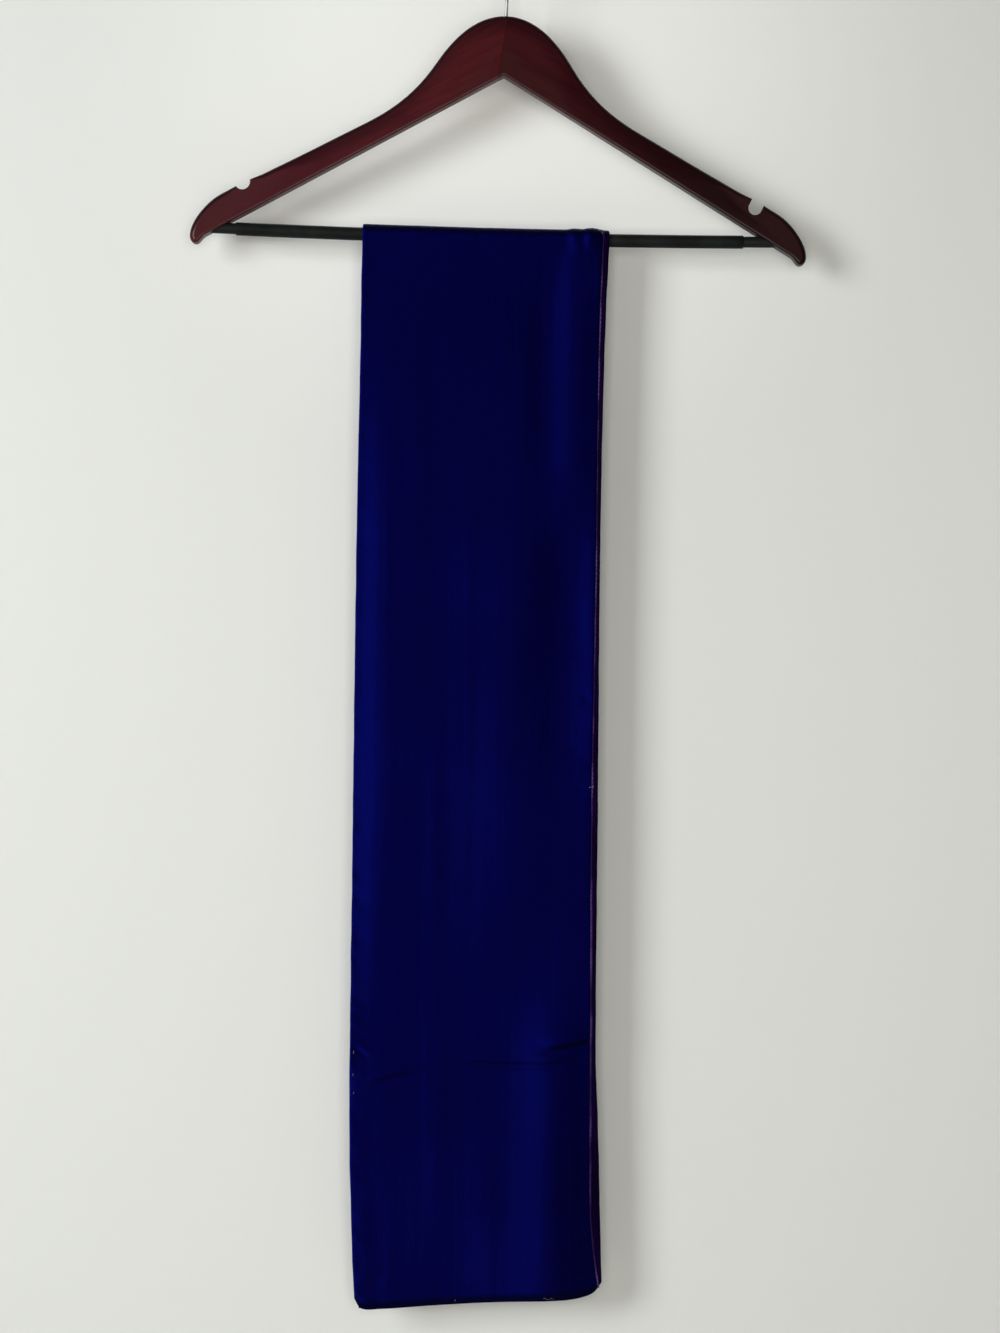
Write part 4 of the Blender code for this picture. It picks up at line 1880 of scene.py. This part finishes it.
@dataclass(frozen=True)
class Scarf:
    """The scarf's two cloths, the velvet outside and the plum backing inside.

    The flat sizes are the width and length, in metres, to which each shows; nothing in this script
    reads them.
    """

    form: ScarfForm
    wall: float = 0.8 * MM
    seam_gap: float = 0.45 * MM
    seam_dip: float = 0.55 * MM
    edge_steps: int = 9
    edge_crowding: float = 0.4
    velvet_columns: int = 84
    backing_columns: int = 52
    turned_columns: int = 2
    velvet_rows: Rows = Rows(216, 120, 60)
    backing_rows: Rows = Rows(108, 60, 30)
    sharp_from: float = 180.0
    velvet_flat: tuple[float, float] = (0.177, 1.543)
    backing_flat: tuple[float, float] = (0.175, 1.538)

    def dips(self, seam: float, sign: float, out: float) -> list[tuple[float, float]]:
        """Lay out the last places of a cloth before its seam, sinking towards it.

        Args:
            seam: the seam's place across.
            sign: 1 where the cloth lies to the right of the seam, and -1 to its left.
            out: how far out the cloth lies before it sinks.

        Returns:
            Places across and out, from the seam's side.
        """
        inward = -1.0 if out > 0.0 else 1.0
        places = []
        for dip in DIPS:
            x = seam + sign * (self.seam_gap + dip.away * MM)
            places.append((x, out + inward * dip.share * self.seam_dip))
        return places

    def body(self, start: float, end: float, out: float, columns: int) -> list[tuple[float, float]]:
        """Lay out places between two edges, closer together near both.

        Args:
            start: the place across to begin from, itself left out.
            end: the last place across.
            out: how far out the cloth lies.
            columns: how many places there are.

        Returns:
            Places across and out.
        """
        places = []
        for column in range(1, columns + 1):
            even = column / columns
            eased = 0.5 - 0.5 * cos(pi * even)
            share = (1.0 - self.edge_crowding) * even + self.edge_crowding * eased
            places.append((start + (end - start) * share, out))
        return places

    def run(self, layer: Layer, section: Section) -> list[tuple[float, float]]:
        """Lay out a cloth round a section, from its seam on the front face to its other seam.

        Args:
            layer: which cloth.
            section: the section's sizes.

        Returns:
            Places across and out of the middle surface.
        """
        out = self.form.edge_radius
        front_seam = section.right - section.strip
        back_seam = section.left + self.form.back_seam_inset
        left_round = section.left + out
        right_round = section.right - out
        turns = even_steps(0.0, pi, self.edge_steps)[1:]
        if layer is Layer.VELVET:
            run = self.dips(front_seam, -1.0, out)
            run += self.body(run[-1][0], left_round, out, self.velvet_columns)
            run += [(left_round - out * sin(turn), out * cos(turn)) for turn in turns]
            end = self.dips(back_seam, -1.0, -out)
            run += self.body(left_round, end[-1][0], -out, self.turned_columns)[:-1]
        else:
            run = self.dips(front_seam, 1.0, out)
            run.append((right_round, out))
            run += [(right_round + out * sin(turn), out * cos(turn)) for turn in turns]
            end = self.dips(back_seam, 1.0, -out)
            run += self.body(right_round, end[-1][0], -out, self.backing_columns)[:-1]
        return run + list(reversed(end))

    def cloth(self, name: str, layer: Layer) -> bpy.types.Object:
        """Build one cloth as a thin shell.

        Args:
            name: the piece's name.
            layer: which cloth.

        Returns:
            The piece, without its material.
        """
        rows = self.velvet_rows if layer is Layer.VELVET else self.backing_rows
        shape = bmesh.new()
        rings = []
        for station in self.form.stations(rows):
            section = self.form.section(station)
            run = self.run(layer, section)
            ring = [shape.verts.new(self.form.point(station, section, x, out)) for x, out in run]
            rings.append(ring)
        skin_between(shape, rings, closed=False)
        bmesh.ops.recalc_face_normals(shape, faces=shape.faces)
        piece = new_piece(name, shape, self.sharp_from)
        wall = piece.modifiers.new("wall", "SOLIDIFY")
        wall.thickness = self.wall
        wall.offset = -1.0
        wall.use_rim = True
        bake_modifiers(piece)
        return piece

    def build(self, effects: Effects) -> list[bpy.types.Object]:
        """Build and dress both cloths.

        Args:
            effects: the shared groups.

        Returns:
            The velvet and the backing.
        """
        velvet = self.cloth("velvet_cloth", Layer.VELVET)
        velvet.data.materials.append(VelvetFinish().make(effects))
        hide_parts("velvet_front", "velvet_top", "velvet_rear")
        backing = self.cloth("plum_lining", Layer.BACKING)
        backing.data.materials.append(BackingFinish().make(effects))
        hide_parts("satin_front", "satin_top", "satin_rear")
        return [velvet, backing]


@dataclass(frozen=True)
class Sewing:
    """The seam along the two long edges: a rolled edge with whip stitches over it.

    The rolled edge is fullest at a drop below the bar, given with its reach in millimetres. Each
    spread is the least and the most of a stitch's random change: of its place in pitches, of its
    length and slant as shares, and of its height in millimetres.
    """

    form: ScarfForm
    rows: Rows = Rows(190, 120, 20)
    roll_radius: float = 0.58 * MM
    roll_more: float = 0.36 * MM
    roll_sink: float = 0.62 * MM
    roll_fullest: float = 600.0
    roll_reach: float = 210.0
    roll_sides: int = 10
    stitch_pitch: float = 3.3 * MM
    stitch_length: float = 1.8 * MM
    stitch_radius: float = 0.17 * MM
    stitch_slant: float = 0.38 * MM
    stitch_dive: float = 1.6
    stitch_taper: float = 0.3
    stitch_steps: int = 4
    stitch_sides: int = 6
    place_spread: tuple[float, float] = (-0.12, 0.12)
    length_spread: tuple[float, float] = (0.75, 1.15)
    slant_spread: tuple[float, float] = (0.7, 1.2)
    height_spread: tuple[float, float] = (0.02, 0.12)
    right_seed: int = 7
    left_seed: int = 8
    # The rolled edge: its own purple, painted lighter than the backing's plum and brighter in
    # stretches as a highlight where it catches the light.
    edge: ThreadFinish = ThreadFinish(
        name="seam_edge_painted_highlight",
        dull=(0.0090, 0.0038, 0.0330),
        bright=(0.0620, 0.0310, 0.1300),
    )
    thread: ThreadFinish = ThreadFinish(
        name="purple_thread",
        dull=(0.0180, 0.0090, 0.0650),
        bright=(0.1900, 0.1200, 0.3600),
    )

    def seam_point(self, station: Station, side: Side, lift: float, aside: float) -> Vector:
        """Find a point of a seam: the right one on the front face, the left one behind.

        Args:
            station: the ring along the scarf.
            side: which seam.
            lift: how far it lies out from the cloth's face.
            aside: how far it lies to the right of the seam.

        Returns:
            The point.
        """
        section = self.form.section(station)
        out = self.form.edge_radius + lift
        if side is Side.RIGHT:
            return self.form.point(station, section, section.right - section.strip + aside, out)
        x = section.left + self.form.back_seam_inset + aside
        return self.form.point(station, section, x, -out)

    def build(self, effects: Effects) -> list[bpy.types.Object]:
        """Build and dress the seams and their stitches.

        Args:
            effects: the shared groups.

        Returns:
            The rolled edges and the stitches.
        """
        stations = self.form.stations(self.rows)
        radii = [self.thickness(self.form.section(station).drop) for station in stations]
        rolls = bmesh.new()
        stitches = bmesh.new()
        for side in Side:
            line = [self.seam_point(station, side, -self.roll_sink, 0.0) for station in stations]
            add_tube(rolls, line, radii, self.roll_sides)
            self.add_stitches(stitches, side)
        roll = new_piece("rolled_seams", rolls)
        roll.data.materials.append(self.edge.make(effects))
        thread = new_piece("whip_stitches", stitches)
        thread.data.materials.append(self.thread.make(effects))
        return [roll, thread]

    def thickness(self, drop: float) -> float:
        """The rolled edge's radius at a drop below the bar: it is fullest low on the tails."""
        return self.roll_radius + self.roll_more * swell(drop - self.roll_fullest, self.roll_reach)

    def add_stitches(self, shape: bmesh.types.BMesh, side: Side) -> None:
        """Add the whip stitches of one seam, each a short slanted loop over the rolled edge.

        Args:
            shape: the geometry to add to.
            side: which seam.
        """
        picker = random.Random(self.right_seed if side is Side.RIGHT else self.left_seed)
        shares = even_steps(-1.0, 1.0, self.stitch_steps)
        radii = [self.stitch_radius * (1.0 - self.stitch_taper * share * share) for share in shares]
        tail = TAIL_SECTIONS[-1].drop * MM
        runs = (
            (Stretch.FRONT, tail, 1.0),
            (Stretch.BEND, pi * self.form.drape_radius, pi),
            (Stretch.REAR, tail, 1.0),
        )
        for stretch, length, span in runs:
            count = int(length / self.stitch_pitch)
            for index in range(count):
                place = (index + 0.5 + picker.uniform(*self.place_spread)) / count
                reach = 0.5 * self.stitch_length * picker.uniform(*self.length_spread) / length
                slant = self.stitch_slant * picker.uniform(*self.slant_spread)
                height = picker.uniform(*self.height_spread) * MM
                line = []
                for share in shares:
                    value = min(1.0, max(0.0, place + reach * share)) * span
                    arch = self.stitch_radius * (1.0 - self.stitch_dive * share * share)
                    station = Station(stretch, value, 0.0)
                    line.append(self.seam_point(station, side, height + arch, slant * share))
                add_tube(shape, line, radii, self.stitch_sides)


class Fleck(NamedTuple):
    """A loose pale fibre: its place on the front tail, its length and its turn, in degrees."""

    x: float
    z: float
    length: float
    turn: float


FLECKS = (
    Fleck(-31.1, -981.0, 1.6, 80.0),
    Fleck(33.0, -978.6, 1.4, 20.0),
    Fleck(35.2, -979.4, 2.0, -15.0),
    Fleck(37.6, -978.8, 1.8, 30.0),
    Fleck(39.6, -979.6, 1.3, -40.0),
    Fleck(65.0, -611.0, 1.7, 70.0),
    Fleck(63.0, -611.4, 1.2, 10.0),
    Fleck(-105.4, -803.0, 2.2, 85.0),
    Fleck(-105.6, -819.0, 1.6, 80.0),
    Fleck(-105.2, -832.0, 1.4, 95.0),
    Fleck(60.0, -211.2, 1.4, 10.0),
    Fleck(62.2, -210.6, 1.8, -25.0),
    Fleck(64.4, -210.4, 1.5, 35.0),
    Fleck(66.4, -211.4, 1.3, -10.0),
    Fleck(68.4, -213.0, 1.6, -50.0),
)


@dataclass(frozen=True)
class LooseFibres:
    """Pale fibres that cling to the hem, the edges and the bend."""

    form: ScarfForm
    radius: float = 0.16 * MM
    clearance: float = 0.1 * MM
    arch: float = 1.0 * MM
    steps: int = 4
    sides: int = 6
    search_rounds: int = 3
    finish: ThreadFinish = ThreadFinish(
        name="pale_fibre",
        dull=(0.16, 0.15, 0.21),
        bright=(0.32, 0.30, 0.42),
    )

    def build(self, effects: Effects) -> list[bpy.types.Object]:
        """Build and dress the fibres.

        Args:
            effects: the shared groups.

        Returns:
            The fibres, as one piece.
        """
        shape = bmesh.new()
        for fleck in FLECKS:
            middle = Vector((fleck.x, fleck.z)) * MM
            way = Vector((cos(radians(fleck.turn)), sin(radians(fleck.turn)))) * fleck.length * MM
            line = []
            for share in even_steps(-0.5, 0.5, self.steps):
                place = middle + way * share
                lift = self.clearance + (0.25 - share * share) * self.arch
                line.append(self.on_front(place.x, place.y, lift))
            add_tube(shape, line, [self.radius] * len(line), self.sides)
        piece = new_piece("loose_fibres", shape)
        piece.data.materials.append(self.finish.make(effects))
        return [piece]

    def on_front(self, x: float, z: float, lift: float) -> Vector:
        """Find a point over the velvet's front face, or over its bend.

        Args:
            x: the place across.
            z: its height.
            lift: how far it is lifted off the cloth.

        Returns:
            The point.
        """
        out = self.form.edge_radius + lift
        top = self.form.fit.bar_axis(x).z
        if z > top:
            rise = (z - top) / (self.form.drape_radius + self.form.edge_radius)
            station = Station(Stretch.BEND, asin(min(1.0, rise)), 0.0)
            return self.form.point(station, self.form.section(station), x, out)
        station = Station(Stretch.FRONT, 0.0, 0.0)
        for _ in range(self.search_rounds):
            section = self.form.section(station)
            across = (x - section.left) / (section.right - section.left)
            hem = read_table(HEM, "across", "z", across) * MM + self.form.edge_radius
            station = Station(Stretch.FRONT, min(1.0, (z - top) / (hem - top)), 0.0)
        point = self.form.point(station, self.form.section(station), x, out)
        return Vector((point.x, point.y, z))


# The studio


class Lamp(NamedTuple):
    """A soft light: its place, its width and height in metres, its power in watts, its colour."""

    name: str
    place: Vector
    size: tuple[float, float]
    power: float
    colour: Colour


LAMPS = (
    Lamp("window_light", Vector((-1.70, -1.75, -0.05)), (0.95, 1.1), 35.0, (0.99, 1.0, 1.0)),
    Lamp("room_light", Vector((0.05, -2.1, -0.55)), (0.9, 0.9), 18.0, (1.0, 0.96, 0.87)),
    Lamp("rear_light", Vector((0.5, 1.6, 0.9)), (1.3, 1.3), 30.0, (1.0, 1.0, 1.0)),
)


@dataclass(frozen=True)
class Studio:
    """The camera at the photograph's place, a pale wall and floor, and soft light from the left.

    The focal share is the lens's focal length over the picture's longer side.
    """

    sensor_width: float = 36.0
    focal_share: float = 2424.0 / 1333.0
    camera_place: Vector = field(default_factory=lambda: Vector((-0.0024731, -1.735, -0.5250627)))
    camera_roll: float = radians(0.46)
    aim: Vector = field(default_factory=lambda: Vector((0.0, 0.0, -0.5)))
    wall_middle: Vector = field(default_factory=lambda: Vector((0.0, 0.046, 0.2)))
    wall_half: float = 2.0
    wall_colour: Colour = (0.80, 0.815, 0.80)
    wall_mottle: float = 0.985
    # A paler patch on the wall, centred at the hanger's crown: a painted pool of light.
    painted_light_patch: Vector = field(default_factory=lambda: Vector((0.0, 0.046, -0.06)))
    painted_light_reach: float = 0.36
    painted_light_core: float = 0.2
    painted_light_gain: float = 1.17
    floor_middle: Vector = field(default_factory=lambda: Vector((0.0, 0.0, -1.35)))
    floor_half: float = 4.0
    floor_colour: Colour = (0.42, 0.42, 0.41)
    floor_mottle: float = 0.98
    floor_glow: float = 1.1
    world_light: Colour = (0.055, 0.060, 0.065)

    def build(self) -> None:
        """Build the studio."""
        self.camera()
        self.world()
        self.wall()
        self.floor()
        for lamp in LAMPS:
            self.light(lamp)

    def camera(self) -> None:
        """Set up the camera."""
        data = bpy.data.cameras.new("photo_camera")
        data.sensor_width = self.sensor_width
        data.lens = self.focal_share * self.sensor_width
        camera = bpy.data.objects.new("photo_camera", data)
        bpy.context.scene.collection.objects.link(camera)
        upright = Matrix.Rotation(0.5 * pi, 4, "X")
        roll = Matrix.Rotation(self.camera_roll, 4, "Z")
        camera.matrix_world = Matrix.Translation(self.camera_place) @ upright @ roll
        bpy.context.scene.camera = camera

    def light(self, lamp: Lamp) -> None:
        """Set up a soft light that faces the scarf's middle.

        Args:
            lamp: the light.
        """
        data = bpy.data.lights.new(lamp.name, "AREA")
        data.shape = "RECTANGLE"
        data.size, data.size_y = lamp.size
        data.energy = lamp.power
        data.color = lamp.colour
        light = bpy.data.objects.new(lamp.name, data)
        bpy.context.scene.collection.objects.link(light)
        turn = (self.aim - lamp.place).to_track_quat("-Z", "Y").to_matrix().to_4x4()
        light.matrix_world = Matrix.Translation(lamp.place) @ turn

    def world(self) -> None:
        """Set up an even pale world that lights softly and shows pale."""
        world = bpy.data.worlds.new("pale_world")
        bpy.context.scene.world = world
        world.use_nodes = True
        bench = NodeBench(world.node_tree)
        background = world.node_tree.nodes["Background"]
        watched = bench.add("ShaderNodeLightPath").outputs["Is Camera Ray"]
        colour = bench.blend(watched, self.world_light, self.wall_colour)
        bench.feed(background.inputs["Color"], colour)

    def plane(self, name: str, middle: Vector, half: float, upright: bool) -> bpy.types.Object:
        """Build a square of the stage.

        Args:
            name: its name.
            middle: its middle.
            half: half of its side.
            upright: whether it stands, facing the viewer, and not lies.

        Returns:
            The square.
        """
        shape = bmesh.new()
        bmesh.ops.create_grid(shape, x_segments=1, y_segments=1, size=half)
        if upright:
            shape.transform(Matrix.Rotation(0.5 * pi, 4, "X"))
        shape.transform(Matrix.Translation(middle))
        plane = new_piece(name, shape)
        return plane

    def wall(self) -> None:
        """Build the wall close behind the hanger.

        It lets the rear light pass, and a camera behind it see through. A paler patch on it,
        centred at the hanger's crown, is a painted pool of light.
        """
        wall = self.plane("pale_wall", self.wall_middle, self.wall_half, True)
        material, bench, shader = Gloss(roughness=0.9, specular=0.2).start("pale_wall_paint")
        places = object_places(bench)
        patches = bench.add("ShaderNodeTexNoise", {"Vector": places, "Scale": 2.5, "Detail": 3.0})
        darker = tuple(self.wall_mottle * channel for channel in self.wall_colour)
        # Painted pool of light: the wall is paler near the crown.
        painted_light_colour = tuple(self.painted_light_gain * channel for channel in self.wall_colour)
        colour = bench.blend(patches.outputs[0], self.wall_colour, darker)
        feeds = {0: places, 1: self.painted_light_patch}
        away = bench.add("ShaderNodeVectorMath", feeds, operation="DISTANCE").outputs["Value"]
        near = bench.stretch(away, self.painted_light_reach, self.painted_light_core * self.painted_light_reach)
        bench.feed(shader.inputs["Base Color"], bench.blend(near, colour, painted_light_colour))
        behind = bench.add("ShaderNodeNewGeometry").outputs["Backfacing"]
        path = bench.add("ShaderNodeLightPath").outputs
        seen_through = bench.maths("MULTIPLY", behind, path["Is Camera Ray"])
        share = bench.maths("MAXIMUM", seen_through, path["Is Shadow Ray"])
        clear = bench.add("ShaderNodeBsdfTransparent").outputs[0]
        mixed = bench.add("ShaderNodeMixShader", {0: share, 1: shader.outputs[0], 2: clear})
        bench.feed(material.node_tree.nodes["Material Output"].inputs["Surface"], mixed.outputs[0])
        wall.data.materials.append(material)

    def floor(self) -> None:
        """Build the plain pale floor, whose glow only the camera sees."""
        floor = self.plane("pale_floor", self.floor_middle, self.floor_half, False)
        material, bench, shader = Gloss(roughness=0.7, specular=0.3).start("pale_floor_paint")
        places = object_places(bench)
        patches = bench.add("ShaderNodeTexNoise", {"Vector": places, "Scale": 2.0}).outputs[0]
        darker = tuple(self.floor_mottle * channel for channel in self.floor_colour)
        colour = bench.blend(patches, self.floor_colour, darker)
        watched = bench.add("ShaderNodeLightPath").outputs["Is Camera Ray"]
        bench.feed(shader.inputs["Base Color"], colour)
        bench.feed(shader.inputs["Emission Color"], colour)
        glow = bench.maths("MULTIPLY", watched, self.floor_glow)
        bench.feed(shader.inputs["Emission Strength"], glow)
        floor.data.materials.append(material)


def main() -> None:
    """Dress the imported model, sub-assembly by sub-assembly."""
    logging.basicConfig(level=logging.INFO, format="%(name)s: %(message)s")
    bpy.context.scene.view_settings.view_transform = "Standard"
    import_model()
    effects = Effects()
    Studio().build()
    fit = HangerFit()
    form = ScarfForm(fit)
    scarf = Scarf(form)
    cloths = scarf.build(effects)
    trims = [*Sewing(form).build(effects), *LooseFibres(form).build(effects)]
    arms, hook, bar = Yoke(fit), WireHook(fit), TrouserBar(fit)
    hanger = [*arms.build(effects), hook.build(effects), *bar.build(effects)]
    for piece in (*hanger, *cloths, *trims):
        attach(piece, "root")
        triangles = sum(len(face.vertices) - 2 for face in piece.data.polygons)
        LOG.info("%s: %d triangles", piece.name, triangles)


if __name__ == "__main__":
    main()
